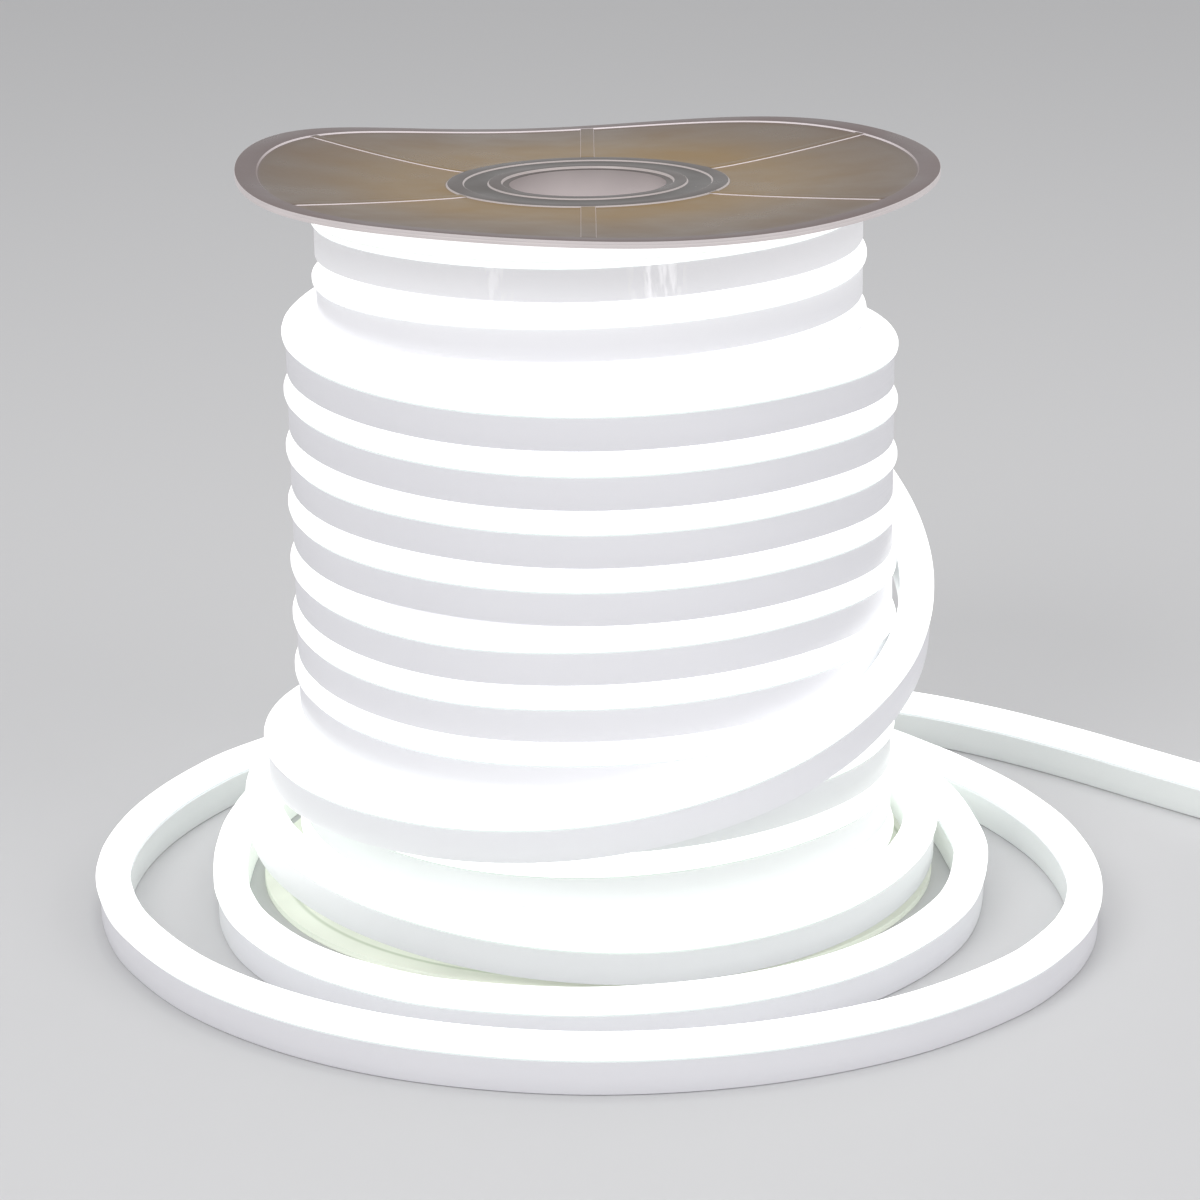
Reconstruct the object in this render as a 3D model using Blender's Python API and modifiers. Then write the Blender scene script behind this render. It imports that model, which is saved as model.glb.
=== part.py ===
# LED neon strip wound on its reel, with the free end lying in loops round it.
# Metres, +Z up. The origin is on the reel's axis, in the plane the reel stands on.
# Azimuths are in degrees, clockwise seen from above: 0 right, 90 front, 180 left, 270 back.

import math

import bmesh
import bpy
from mathutils import Matrix, Vector

# Strip section: an opaque channel with a milky lobe on top
STRIP_WIDTH = 0.014
STRIP_HEIGHT = 0.026
CHANNEL_HEIGHT = 0.0148
LOBE_OVERHANG = 0.0008
LOBE_SHOULDER = 0.0045

# Gaps
TOUCH = 0.0003
TURN_GAP = 0.0005
LAYER_GAP = 0.0003

# Reel
FLANGE_RADIUS = 0.1635
FLANGE_THICKNESS = 0.0032
REEL_HEIGHT = 0.3392
BORE_RADIUS = 0.0366
CORE_RADIUS = 0.0430
CORE_WALL = 0.0025
SPIGOT_LENGTH = 0.018
RIM_WIDTH = 0.0101
PANEL_DEPTH = 0.0012
HUB_RING_OUTER = 0.0663
HUB_RING_INNER = 0.0581
BOSS_OUTER = 0.0463
BOSS_INNER = 0.0402
BOSS_STEP = 0.0014
RIB_COUNT = 6
RIB_FIRST_AZIMUTH = 30.0
RIB_WIDTH = 0.0065
RIB_DROP = 0.0001
RIB_ROOT = 0.0003
RIB_SEAT = 0.0012
STEP_DRAFT = 0.0004
EDGE_BREAK = 0.0005

# Bow of the top flange at its rim: mean lift, then one row for each wave round the rim
BOW_MEAN = 0.0060
BOW_WAVES = ((1, 0.0016, -148.0), (2, 0.0041, -6.0), (3, 0.0025, -35.0), (4, 0.0014, 28.0))
BOW_POWER = 1.35
BOW_RINGS = 3

# Windings
OUTER_LAYER_RADIUS = 0.1361
INNER_TURNS_DROP = 0.0004
INNER_TURNS_START = -20.0
INNER_TURNS_END = 915.0
CROSSING_START = -60.0
CROSSING_END = -5.0
JOIN_STEP = 1.5
JOIN_LEAD = 15.0
STEPS_PER_TURN = 28
SLACK_STEPS_PER_TURN = 42
ROUND_STEPS = 40

# How far a turn of the outer layer has climbed at each azimuth, as a share of one pitch
OUTER_CLIMB = ((0, 0.030), (25, 0.115), (45, 0.160), (70, 0.134), (90, 0.112), (112, 0.124),
               (128, 0.166), (145, 0.224), (161, 0.288), (180, 0.345), (210, 0.420), (255, 0.700),
               (300, 0.985), (360, 1.030))

# Where its turns lie unevenly: azimuth from the layer's start, lift in pitches
OUTER_UNEVEN = (
    (0, -0.030), (60, -0.030), (120, -0.042), (160, -0.045), (300, -0.010), (420, -0.010),
    (480, -0.050), (520, -0.052), (660, -0.005), (780, -0.010), (840, -0.057), (880, -0.059),
    (1020, 0.0), (1120, 0.0), (1170, -0.016), (1200, -0.064), (1235, -0.068), (1360, -0.010),
    (1480, 0.010), (1530, -0.018), (1560, -0.072), (1595, -0.076), (1720, -0.012), (1840, 0.012),
    (1890, -0.017), (1920, -0.080), (1955, -0.080), (2080, -0.012), (2200, 0.010), (2250, 0.016),
    (2280, 0.036), (2315, 0.004), (2430, 0.0), (2560, 0.002), (2610, 0.010), (2640, 0.050),
    (2675, 0.028), (2800, 0.010), (2920, -0.007), (2970, 0.002), (3000, 0.044), (3035, 0.068),
    (3150, 0.030), (3280, 0.0), (3330, 0.012), (3360, 0.042), (3395, 0.087), (3420, 0.090),
)

# How far the layer below has come down from its start under the top flange, in pitches
INNER_FALL = ((0, 0.0), (30, 0.062), (59, 0.110), (75, 0.150), (96, 0.190), (135, 0.183),
              (165, 0.196), (180, 0.214), (240, 0.500), (300, 0.870), (340, 0.986), (360, 0.996),
              (378, 1.026), (406, 1.088), (450, 1.183), (495, 1.246), (530, 1.285), (540, 1.305),
              (600, 1.580), (660, 1.910), (700, 1.980), (720, 2.0), (810, 2.225), (900, 2.355),
              (930, 2.450))

# The two slack turns that come off the outer layer.
# Azimuth from the outer layer's start, distance outside that layer in strip widths, height in pitches.
SLACK_ROUTE = (
    (3420, 0.00, 9.435), (3435, 0.12, 9.455), (3450, 0.50, 9.475), (3465, 1.02, 9.500),
    (3480, 1.20, 9.430), (3495, 1.22, 9.14), (3510, 1.23, 8.72), (3525, 1.24, 8.17),
    (3540, 1.26, 7.56), (3560, 1.28, 6.63), (3577, 1.29, 5.80), (3588, 1.29, 5.28),
    (3600, 1.29, 4.74), (3615, 1.28, 4.14), (3630, 1.27, 3.65), (3645, 1.25, 3.195),
    (3660, 1.24, 2.81), (3675, 1.22, 2.50), (3690, 1.21, 2.26), (3705, 1.20, 2.11),
    (3720, 1.19, 2.03), (3750, 1.17, 1.97), (3780, 1.16, 1.94), (3825, 1.20, 1.70),
    (3870, 1.33, 1.16), (3915, 1.45, 0.56), (3960, 1.52, 0.29), (3984, 1.53, 0.18),
    (4002, 1.54, 0.09), (4020, 1.55, 0.02), (4042, 1.56, 0.01), (4062, 1.60, 0.14),
    (4085, 1.68, 0.37), (4114, 1.80, 0.65), (4140, 1.90, 0.83), (4165, 2.01, 0.85),
    (4185, 2.15, 0.75), (4210, 2.38, 0.51), (4230, 2.54, 0.32),
)

# The free end, on from the slack turns: azimuth, radius and height of the strip's underside
TAIL_LOOPS = (
    (285, 0.1735, 0.0075), (300, 0.1746, 0.0045), (315, 0.1752, 0.0020),
    (330, 0.1755, 0.0006), (345, 0.1753, 0.0002), (360, 0.1768, 0.0002), (375, 0.1840, 0.0002),
    (395, 0.1968, 0.0002), (415, 0.2083, 0.0002), (433, 0.2148, 0.0002), (451, 0.2176, 0.0002),
    (468, 0.2168, 0.0002), (480, 0.2127, 0.0002), (491, 0.2068, 0.0002), (503, 0.1982, 0.0002),
    (514, 0.1894, 0.0002), (524, 0.1820, 0.0002), (534, 0.1776, 0.0002), (546, 0.1758, 0.0002),
    (560, 0.1769, 0.0002), (578, 0.1804, 0.0002), (605, 0.1854, 0.0002), (630, 0.1890, 0.0002),
    (652, 0.1917, 0.0002), (675, 0.1935, 0.0002), (690, 0.1956, 0.0002), (700, 0.2003, 0.0002),
    (708, 0.2067, 0.0002), (716, 0.2143, 0.0002), (724, 0.2232, 0.0002), (733, 0.2336, 0.0002),
    (741, 0.2430, 0.0002), (749, 0.2513, 0.0002), (757, 0.2574, 0.0002), (767, 0.2623, 0.0002),
    (781, 0.2655, 0.0002), (796, 0.2662, 0.0002), (811, 0.2652, 0.0002), (826, 0.2615, 0.0002),
    (840, 0.2568, 0.0002), (855, 0.2506, 0.0002), (870, 0.2441, 0.0002), (882, 0.2390, 0.0002),
    (891, 0.2345, 0.0002), (900, 0.2290, 0.0002), (910, 0.2231, 0.0002), (921, 0.2174, 0.0002),
    (932, 0.2126, 0.0002), (952, 0.2085, 0.0002), (974, 0.2120, 0.0002),
    (1000, 0.2230, 0.0002), (1019, 0.2365, 0.0002), (1032.6, 0.2486, 0.0002),
)
TAIL_RUN = ((0.2100, 0.1540, 0.0002), (0.2480, 0.1190, 0.0002), (0.2810, 0.0840, 0.0002),
            (0.3110, 0.0520, 0.0004), (0.3400, 0.0230, 0.0013))
TAIL_STEP = 0.044

# End cap
CAP_WALL = 0.0010
CAP_LENGTH = 0.020
CAP_POCKET = 0.014
CAP_EDGE = 0.0008

# Worked out from the sizes above
PITCH = STRIP_HEIGHT + TURN_GAP
COVERED_TURN_START = -8 * 360.0 / STEPS_PER_TURN
LAYER_PITCH = STRIP_WIDTH + LOBE_OVERHANG + LAYER_GAP
INNER_LAYER_RADIUS = OUTER_LAYER_RADIUS - LAYER_PITCH
FLOOR_OF_WINDINGS = FLANGE_THICKNESS + TOUCH
FLANGE_GAP_TOP = REEL_HEIGHT - FLANGE_THICKNESS
BOW_START = HUB_RING_OUTER + STEP_DRAFT


def rgb(red, green, blue):
    return (red, green, blue, 1.0)


def make_material(name, color, roughness, emission=0.0):
    material = bpy.data.materials.new(name)
    material.use_nodes = True
    shader = material.node_tree.nodes["Principled BSDF"]
    shader.inputs["Base Color"].default_value = color
    shader.inputs["Roughness"].default_value = roughness
    shader.inputs["Metallic"].default_value = 0.0
    if emission:
        shader.inputs["Emission Color"].default_value = color
        shader.inputs["Emission Strength"].default_value = emission
    return material


def make_materials():
    return {
        "channel": make_material("White PVC channel", rgb(0.78, 0.78, 0.80), 0.38),
        "lobe": make_material("Milky diffuser", rgb(0.95, 0.97, 0.95), 0.45, 1.0),
        "reel": make_material("Reel plastic", rgb(0.62, 0.58, 0.50), 0.45),
        "core": make_material("Core tube plastic", rgb(0.80, 0.76, 0.72), 0.50),
        "cap": make_material("White end cap", rgb(0.82, 0.82, 0.82), 0.40),
    }


def clear_scene():
    for item in list(bpy.data.objects):
        bpy.data.objects.remove(item, do_unlink=True)


def new_collection(name):
    collection = bpy.data.collections.new(name)
    bpy.context.scene.collection.children.link(collection)
    return collection


def smooth_value(table, x, column=1):
    # A cubic through the table's rows, with each slope taken across its neighbours
    last = len(table) - 1
    i = 0
    while i < last - 1 and x > table[i + 1][0]:
        i += 1
    x0, x1 = table[i][0], table[i + 1][0]
    y0, y1 = table[i][column], table[i + 1][column]

    def slope(k):
        a, b = max(k - 1, 0), min(k + 1, last)
        return (table[b][column] - table[a][column]) / (table[b][0] - table[a][0])

    t = (x - x0) / (x1 - x0)
    m0, m1 = slope(i) * (x1 - x0), slope(i + 1) * (x1 - x0)
    return ((2 * t**3 - 3 * t**2 + 1) * y0 + (t**3 - 2 * t**2 + t) * m0
            + (3 * t**2 - 2 * t**3) * y1 + (t**3 - t**2) * m1)


def at_azimuth(azimuth, radius, height):
    angle = math.radians(azimuth)
    return Vector((radius * math.cos(angle), -radius * math.sin(angle), height))


def outline_object(name, points, guides):
    # A closed flat curve that is swept along a path, whose own +X lies to the right of the travel
    curve = bpy.data.curves.new(name, "CURVE")
    curve.dimensions = "2D"
    spline = curve.splines.new("POLY")
    spline.points.add(len(points) - 1)
    for point, (x, y) in zip(spline.points, points):
        point.co = (-x, y, 0.0, 1.0)
    spline.use_cyclic_u = True
    guide = bpy.data.objects.new(name, curve)
    guide.hide_render = True
    guide.display_type = "WIRE"
    guides.objects.link(guide)
    return guide


def channel_outline():
    # Underside at 0, x positive towards the outside of the bend
    half = STRIP_WIDTH / 2
    return [(-half, 0.0), (half, 0.0), (half, CHANNEL_HEIGHT), (-half, CHANNEL_HEIGHT)]


def lobe_outline():
    # The lobe swells past the channel on the outside of the bend, and its crown is gently flat
    half = STRIP_WIDTH / 2
    foot = CHANNEL_HEIGHT + TOUCH
    side = STRIP_HEIGHT - LOBE_SHOULDER
    return [(half, foot), (-half, foot), (-half, side), (LOBE_SHOULDER - half, STRIP_HEIGHT),
            (half - LOBE_SHOULDER, STRIP_HEIGHT), (half + LOBE_OVERHANG, side)]


def mesh_from_curve(curve_object, name, parts):
    # The sweep becomes a mesh, and its end caps are welded to its sides.
    # Its skew quads are all split the same way, so that two sweeps on one path stay parallel.
    depsgraph = bpy.context.evaluated_depsgraph_get()
    mesh = bpy.data.meshes.new_from_object(curve_object.evaluated_get(depsgraph))
    mesh.name = name
    bm = bmesh.new()
    bm.from_mesh(mesh)
    bmesh.ops.remove_doubles(bm, verts=bm.verts, dist=0.00001)
    bmesh.ops.triangulate(bm, faces=bm.faces, quad_method="FIXED")
    bmesh.ops.recalc_face_normals(bm, faces=bm.faces)
    bm.to_mesh(mesh)
    bm.free()
    matrix = curve_object.matrix_world.copy()
    bpy.data.objects.remove(curve_object, do_unlink=True)
    result = bpy.data.objects.new(name, mesh)
    result.matrix_world = matrix
    parts.objects.link(result)
    return result


def sweep(name, path, outline, material, parts):
    curve = bpy.data.curves.new(name + "_path", "CURVE")
    curve.dimensions = "3D"
    curve.twist_mode = "Z_UP"
    curve.bevel_mode = "OBJECT"
    curve.bevel_object = outline
    curve.use_fill_caps = True
    spline = curve.splines.new("POLY")
    spline.points.add(len(path) - 1)
    for point, place in zip(spline.points, path):
        point.co = (*place, 1.0)
    curve_object = bpy.data.objects.new(name + "_path", curve)
    parts.objects.link(curve_object)
    bpy.context.view_layer.update()
    result = mesh_from_curve(curve_object, name, parts)
    result.data.materials.clear()
    result.data.materials.append(material)
    result.data.shade_smooth()
    result.data.set_sharp_from_angle(angle=math.radians(35))
    return result


def azimuths(start, end, steps=STEPS_PER_TURN):
    # Stations on one common grid, so that stacked turns have parallel sides
    step = 360.0 / steps
    first = math.ceil(start / step + 0.01)
    last = math.floor(end / step - 0.01)
    return [start] + [k * step for k in range(first, last + 1)] + [end]


def outer_layer_place(azimuth):
    # The hidden last turn of the layer below lies on the flange, then steps outward
    if azimuth < 0:
        share = min(max((azimuth - CROSSING_START) / (CROSSING_END - CROSSING_START), 0.0), 1.0)
        ease = share * share * (3 - 2 * share)
        return INNER_LAYER_RADIUS + ease * LAYER_PITCH, FLOOR_OF_WINDINGS
    if azimuth <= SLACK_ROUTE[0][0]:
        turn = math.floor(azimuth / 360.0)
        climb = smooth_value(OUTER_CLIMB, azimuth - 360.0 * turn)
        lift = smooth_value(OUTER_UNEVEN, azimuth)
        return OUTER_LAYER_RADIUS, FLOOR_OF_WINDINGS + PITCH * (turn + climb + lift)
    offset = smooth_value(SLACK_ROUTE, azimuth, 1)
    height = smooth_value(SLACK_ROUTE, azimuth, 2)
    return OUTER_LAYER_RADIUS + offset * STRIP_WIDTH, FLOOR_OF_WINDINGS + height * PITCH


def wound_path():
    # A short last step squares the end to the tail that carries on from it
    slack_start, end = SLACK_ROUTE[0][0], SLACK_ROUTE[-1][0]
    stations = azimuths(COVERED_TURN_START, slack_start)
    stations += azimuths(slack_start, end, SLACK_STEPS_PER_TURN)[1:]
    stations.insert(-1, end - JOIN_STEP)
    return [at_azimuth(a, *outer_layer_place(a)) for a in stations]


def inner_turns_path():
    top = FLANGE_GAP_TOP - STRIP_HEIGHT + bow(INNER_LAYER_RADIUS, 0.0) - INNER_TURNS_DROP
    places = []
    for azimuth in azimuths(INNER_TURNS_START, INNER_TURNS_END):
        fall = smooth_value(INNER_FALL, max(azimuth, 0.0))
        places.append(at_azimuth(azimuth, INNER_LAYER_RADIUS, top - PITCH * fall))
    return places


def catmull_rom(p0, p1, p2, p3, t):
    return 0.5 * (2 * p1 + (p2 - p0) * t + (2 * p0 - 5 * p1 + 4 * p2 - p3) * t**2
                  + (3 * p1 - p0 - 3 * p2 + p3) * t**3)


def tail_path():
    # A smooth curve through the route's points, then read at even steps along it
    join = SLACK_ROUTE[-1][0]
    lead = join - JOIN_LEAD
    route = [at_azimuth(join, *outer_layer_place(join))]
    route += [at_azimuth(*row) for row in TAIL_LOOPS] + [Vector(row) for row in TAIL_RUN]
    padded = [at_azimuth(lead, *outer_layer_place(lead))] + route + [2 * route[-1] - route[-2]]
    fine = []
    for i in range(len(route) - 1):
        for k in range(12):
            fine.append(catmull_rom(*padded[i:i + 4], k / 12))
    fine.append(route[-1])
    length = sum((b - a).length for a, b in zip(fine, fine[1:]))
    count = round(length / TAIL_STEP)
    path, walked, target = [fine[0]], 0.0, length / count
    for a, b in zip(fine, fine[1:]):
        span = (b - a).length
        while walked + span >= target and len(path) < count:
            path.append(a.lerp(b, (target - walked) / span))
            target += length / count
        walked += span
    path.append(fine[-1])
    # The first point steps on a touch, so the two lengths of strip meet face to face
    path.insert(1, fine[1])
    path[0] = path[0].lerp(path[1], 2 * TOUCH / (path[1] - path[0]).length)
    return path


def bow(radius, azimuth):
    if radius <= BOW_START:
        return 0.0
    share = ((radius - BOW_START) / (FLANGE_RADIUS - BOW_START)) ** BOW_POWER
    lift = BOW_MEAN
    for waves, height, phase in BOW_WAVES:
        lift += height * math.cos(math.radians(waves * (azimuth - phase)))
    return lift * share


def flange_outline(panel_rings):
    # The moulded face is at the top and the spigot below, counted from the inner face at 0.
    # A plate that is bowed has rings across its panel, to bend at.
    top = FLANGE_THICKNESS
    panel = top - PANEL_DEPTH
    spigot = CORE_RADIUS - CORE_WALL - TOUCH
    rim_inner = FLANGE_RADIUS - RIM_WIDTH
    panel_inner = HUB_RING_OUTER + STEP_DRAFT
    share = (rim_inner - panel_inner) / (panel_rings + 1)
    rings = [rim_inner - share * k for k in range(1, panel_rings + 1)]
    edge = FLANGE_RADIUS - EDGE_BREAK
    points = [(FLANGE_RADIUS, top - EDGE_BREAK), (FLANGE_RADIUS, EDGE_BREAK), (edge, 0.0)]
    points += [(r, 0.0) for r in rings]
    points += [(HUB_RING_OUTER, 0.0), (spigot, 0.0), (spigot, -SPIGOT_LENGTH), (BORE_RADIUS, -SPIGOT_LENGTH)]
    points += [(BORE_RADIUS, top - BOSS_STEP), (BOSS_INNER - STEP_DRAFT, top - BOSS_STEP), (BOSS_INNER, top)]
    points += [(BOSS_OUTER, top), (BOSS_OUTER + STEP_DRAFT, panel), (HUB_RING_INNER - STEP_DRAFT, panel)]
    points += [(HUB_RING_INNER, top), (HUB_RING_OUTER, top), (panel_inner, panel)]
    points += [(r, panel) for r in reversed(rings)]
    points += [(rim_inner - STEP_DRAFT, panel), (rim_inner, top), (edge, top)]
    return points


def turned(name, outline, collection, steps=ROUND_STEPS):
    # A closed profile turned about Z
    mesh = bpy.data.meshes.new(name)
    count = len(outline)
    mesh.from_pydata([(r, 0.0, z) for r, z in outline], [(k, (k + 1) % count) for k in range(count)], [])
    result = bpy.data.objects.new(name, mesh)
    collection.objects.link(result)
    screw = result.modifiers.new("Turn", "SCREW")
    screw.angle = math.radians(360)
    screw.steps = steps
    screw.render_steps = steps
    screw.use_merge_vertices = True
    screw.merge_threshold = 0.00001
    return result


def rib_body(name, azimuth, panel_rings, guides):
    # One radial rib, cut across at the panel's rings so that it can follow the bow
    inner = HUB_RING_OUTER - RIB_SEAT
    outer = FLANGE_RADIUS - RIM_WIDTH + RIB_SEAT
    low = FLANGE_THICKNESS - PANEL_DEPTH - RIB_ROOT
    high = FLANGE_THICKNESS - RIB_DROP
    bm = bmesh.new()
    bmesh.ops.create_cube(bm, size=1.0)
    bmesh.ops.scale(bm, vec=(outer - inner, RIB_WIDTH, high - low), verts=bm.verts)
    bmesh.ops.translate(bm, vec=((outer + inner) / 2, 0.0, (low + high) / 2), verts=bm.verts)
    for k in range(1, panel_rings + 1):
        place = (inner + (outer - inner) * k / (panel_rings + 1), 0.0, 0.0)
        geometry = bm.verts[:] + bm.edges[:] + bm.faces[:]
        bmesh.ops.bisect_plane(bm, geom=geometry, plane_co=place, plane_no=(1.0, 0.0, 0.0))
    bmesh.ops.rotate(bm, matrix=Matrix.Rotation(math.radians(-azimuth), 3, "Z"), verts=bm.verts)
    mesh = bpy.data.meshes.new(name)
    bm.to_mesh(mesh)
    bm.free()
    cutter = bpy.data.objects.new(name, mesh)
    cutter.hide_render = True
    cutter.display_type = "WIRE"
    guides.objects.link(cutter)
    return cutter


def flange_mesh(name, panel_rings, parts, guides):
    # The turned plate with its ribs joined on, as one mesh that is ready to place
    blank = turned(name + "_blank", flange_outline(panel_rings), parts)
    for k in range(RIB_COUNT):
        azimuth = RIB_FIRST_AZIMUTH + 360.0 * k / RIB_COUNT
        join = blank.modifiers.new("Rib %d" % (k + 1), "BOOLEAN")
        join.operation = "UNION"
        join.solver = "EXACT"
        join.object = rib_body("%s_rib_%d" % (name, k + 1), azimuth, panel_rings, guides)
    bpy.context.view_layer.update()
    depsgraph = bpy.context.evaluated_depsgraph_get()
    mesh = bpy.data.meshes.new_from_object(blank.evaluated_get(depsgraph))
    mesh.name = name
    bpy.data.objects.remove(blank, do_unlink=True)
    return mesh


def finish_plate(name, mesh, material, parts):
    mesh.materials.clear()
    mesh.materials.append(material)
    mesh.shade_smooth()
    mesh.set_sharp_from_angle(angle=math.radians(25))
    plate = bpy.data.objects.new(name, mesh)
    parts.objects.link(plate)
    return plate


def make_top_flange(parts, guides, material):
    mesh = flange_mesh("reel_top_flange", BOW_RINGS, parts, guides)
    for vertex in mesh.vertices:
        x, y, z = vertex.co
        azimuth = math.degrees(math.atan2(-y, x))
        vertex.co.z = z + FLANGE_GAP_TOP + bow(math.hypot(x, y), azimuth)
    return finish_plate("reel_top_flange", mesh, material, parts)


def make_bottom_flange(parts, guides, material):
    mesh = flange_mesh("reel_bottom_flange", 0, parts, guides)
    mesh.transform(Matrix.Translation((0.0, 0.0, FLANGE_THICKNESS)) @ Matrix.Rotation(math.pi, 4, "X"))
    return finish_plate("reel_bottom_flange", mesh, material, parts)


def make_core_tube(parts, material):
    low, high = FLANGE_THICKNESS + TOUCH, FLANGE_GAP_TOP - TOUCH
    inner = CORE_RADIUS - CORE_WALL
    tube = turned("reel_core_tube", [(CORE_RADIUS, high), (CORE_RADIUS, low), (inner, low), (inner, high)], parts)
    tube.data.materials.append(material)
    return tube


def make_inner_windings(parts, material, lowest_inner_turn):
    # The covered layers are one solid, stepped in where the turns that show lie round it
    core = (CORE_RADIUS + TOUCH) / math.cos(math.pi / STEPS_PER_TURN)
    covered = INNER_LAYER_RADIUS + STRIP_WIDTH / 2
    below = INNER_LAYER_RADIUS - STRIP_WIDTH / 2 - LAYER_GAP
    bottom = FLOOR_OF_WINDINGS
    first_step = bottom + PITCH
    second_step = lowest_inner_turn - TURN_GAP
    top = FLANGE_GAP_TOP + min(bow(below, a) for a in range(0, 360, 5)) - 2 * TOUCH
    outline = [(below, top), (below, second_step), (covered, second_step), (covered, first_step),
               (below, first_step), (below, bottom), (core, bottom), (core, top)]
    windings = turned("covered_windings", outline, parts, STEPS_PER_TURN)
    windings.data.materials.append(material)
    return windings


def make_end_cap(parts, guides, material, end, direction):
    # A cup with rounded edges, cut out for the strip that it is pushed over
    width = STRIP_WIDTH + LOBE_OVERHANG * 2 + 2 * (CAP_WALL + TOUCH)
    height = STRIP_HEIGHT + 2 * (CAP_WALL + TOUCH)
    mesh = bpy.data.meshes.new("tail_end_cap")
    bm = bmesh.new()
    bmesh.ops.create_cube(bm, size=1.0)
    bmesh.ops.scale(bm, vec=(CAP_LENGTH, width, height), verts=bm.verts)
    shift = (CAP_LENGTH / 2 - CAP_POCKET, 0.0, STRIP_HEIGHT / 2)
    bmesh.ops.translate(bm, vec=shift, verts=bm.verts)
    bm.to_mesh(mesh)
    bm.free()
    cap = bpy.data.objects.new("tail_end_cap", mesh)
    cap.data.materials.append(material)
    parts.objects.link(cap)
    bevel = cap.modifiers.new("Edges", "BEVEL")
    bevel.width = CAP_EDGE
    bevel.segments = 2
    pocket_mesh = bpy.data.meshes.new("cap_pocket")
    bm = bmesh.new()
    bmesh.ops.create_cube(bm, size=1.0)
    pocket = (CAP_POCKET * 2, width - 2 * CAP_WALL, height - 2 * CAP_WALL)
    bmesh.ops.scale(bm, vec=pocket, verts=bm.verts)
    bmesh.ops.translate(bm, vec=(TOUCH - CAP_POCKET, 0.0, STRIP_HEIGHT / 2), verts=bm.verts)
    bm.to_mesh(pocket_mesh)
    bm.free()
    cutter = bpy.data.objects.new("cap_pocket", pocket_mesh)
    cutter.hide_render = True
    cutter.display_type = "WIRE"
    guides.objects.link(cutter)
    cut = cap.modifiers.new("Pocket", "BOOLEAN")
    cut.operation = "DIFFERENCE"
    cut.solver = "EXACT"
    cut.object = cutter
    heading = math.atan2(direction.y, direction.x)
    place = Matrix.Translation(end) @ Matrix.Rotation(heading, 4, "Z")
    cap.matrix_world = place
    cutter.matrix_world = place
    return cap


def build():
    clear_scene()
    parts = new_collection("LED strip light on reel")
    guides = new_collection("Guides and cutters")
    materials = make_materials()
    channel = outline_object("channel_outline", channel_outline(), guides)
    lobe = outline_object("lobe_outline", lobe_outline(), guides)

    make_bottom_flange(parts, guides, materials["reel"])
    make_top_flange(parts, guides, materials["reel"])
    make_core_tube(parts, materials["core"])

    inner_path = inner_turns_path()
    make_inner_windings(parts, materials["channel"], min(place.z for place in inner_path))
    sweep("inner_turns_channel", inner_path, channel, materials["channel"], parts)
    sweep("inner_turns_diffuser", inner_path, lobe, materials["lobe"], parts)

    outer_path = wound_path()
    sweep("wound_strip_channel", outer_path, channel, materials["channel"], parts)
    sweep("wound_strip_diffuser", outer_path, lobe, materials["lobe"], parts)

    tail = tail_path()
    sweep("tail_channel", tail, channel, materials["channel"], parts)
    sweep("tail_diffuser", tail, lobe, materials["lobe"], parts)
    make_end_cap(parts, guides, materials["cap"], tail[-1], tail[-1] - tail[-2])


build()
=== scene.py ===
import math

import bmesh
import bpy
from mathutils import Matrix, Vector


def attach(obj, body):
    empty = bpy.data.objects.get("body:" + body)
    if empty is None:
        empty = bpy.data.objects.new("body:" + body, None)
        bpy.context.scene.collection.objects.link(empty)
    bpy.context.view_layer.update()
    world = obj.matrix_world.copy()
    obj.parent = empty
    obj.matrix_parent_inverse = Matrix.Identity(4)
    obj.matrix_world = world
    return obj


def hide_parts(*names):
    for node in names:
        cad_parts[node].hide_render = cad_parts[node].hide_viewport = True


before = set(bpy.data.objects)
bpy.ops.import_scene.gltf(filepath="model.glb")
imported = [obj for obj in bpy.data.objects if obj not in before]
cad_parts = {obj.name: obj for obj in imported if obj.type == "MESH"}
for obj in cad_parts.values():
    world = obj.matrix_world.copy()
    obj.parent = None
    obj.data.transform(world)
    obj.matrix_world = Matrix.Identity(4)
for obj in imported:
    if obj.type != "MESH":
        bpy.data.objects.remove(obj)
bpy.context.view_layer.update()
print("scene: frame loaded,", len(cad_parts), "nodes")

# Azimuths are in degrees, clockwise seen from above: 0 right, 90 front, 180 left, 270 back


# Camera at the photograph's angle

cameraSettings = {
    "distance": 1.6291,
    "height": 0.6244,
    "pitchDown": 16.7085,
    "yaw": -0.0985,
    "roll": -0.8452,
    "lens": 105.85,
    "sensor": 36.0,
    "clipStart": 0.05,
}


def makeCamera(settings):
    yaw, pitch, roll = (math.radians(settings[k]) for k in ("yaw", "pitchDown", "roll"))
    level = Vector((math.cos(yaw), math.sin(yaw), 0.0))
    ahead = Vector((-math.sin(yaw), math.cos(yaw), 0.0))
    forward = ahead * math.cos(pitch) - Vector((0.0, 0.0, math.sin(pitch)))
    upright = ahead * math.sin(pitch) + Vector((0.0, 0.0, math.cos(pitch)))
    right = level * math.cos(roll) + upright * math.sin(roll)
    up = upright * math.cos(roll) - level * math.sin(roll)
    data = bpy.data.cameras.new("photoCamera")
    data.lens = settings["lens"]
    data.sensor_width = settings["sensor"]
    data.clip_start = settings["clipStart"]
    camera = bpy.data.objects.new("photoCamera", data)
    bpy.context.scene.collection.objects.link(camera)
    turn = Matrix((right, up, -forward)).transposed().to_4x4()
    camera.matrix_world = Matrix.Translation((0.0, -settings["distance"], settings["height"])) @ turn
    bpy.context.scene.camera = camera


makeCamera(cameraSettings)
print("scene: camera placed")


# Routes of the strip, as in the part's source

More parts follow.
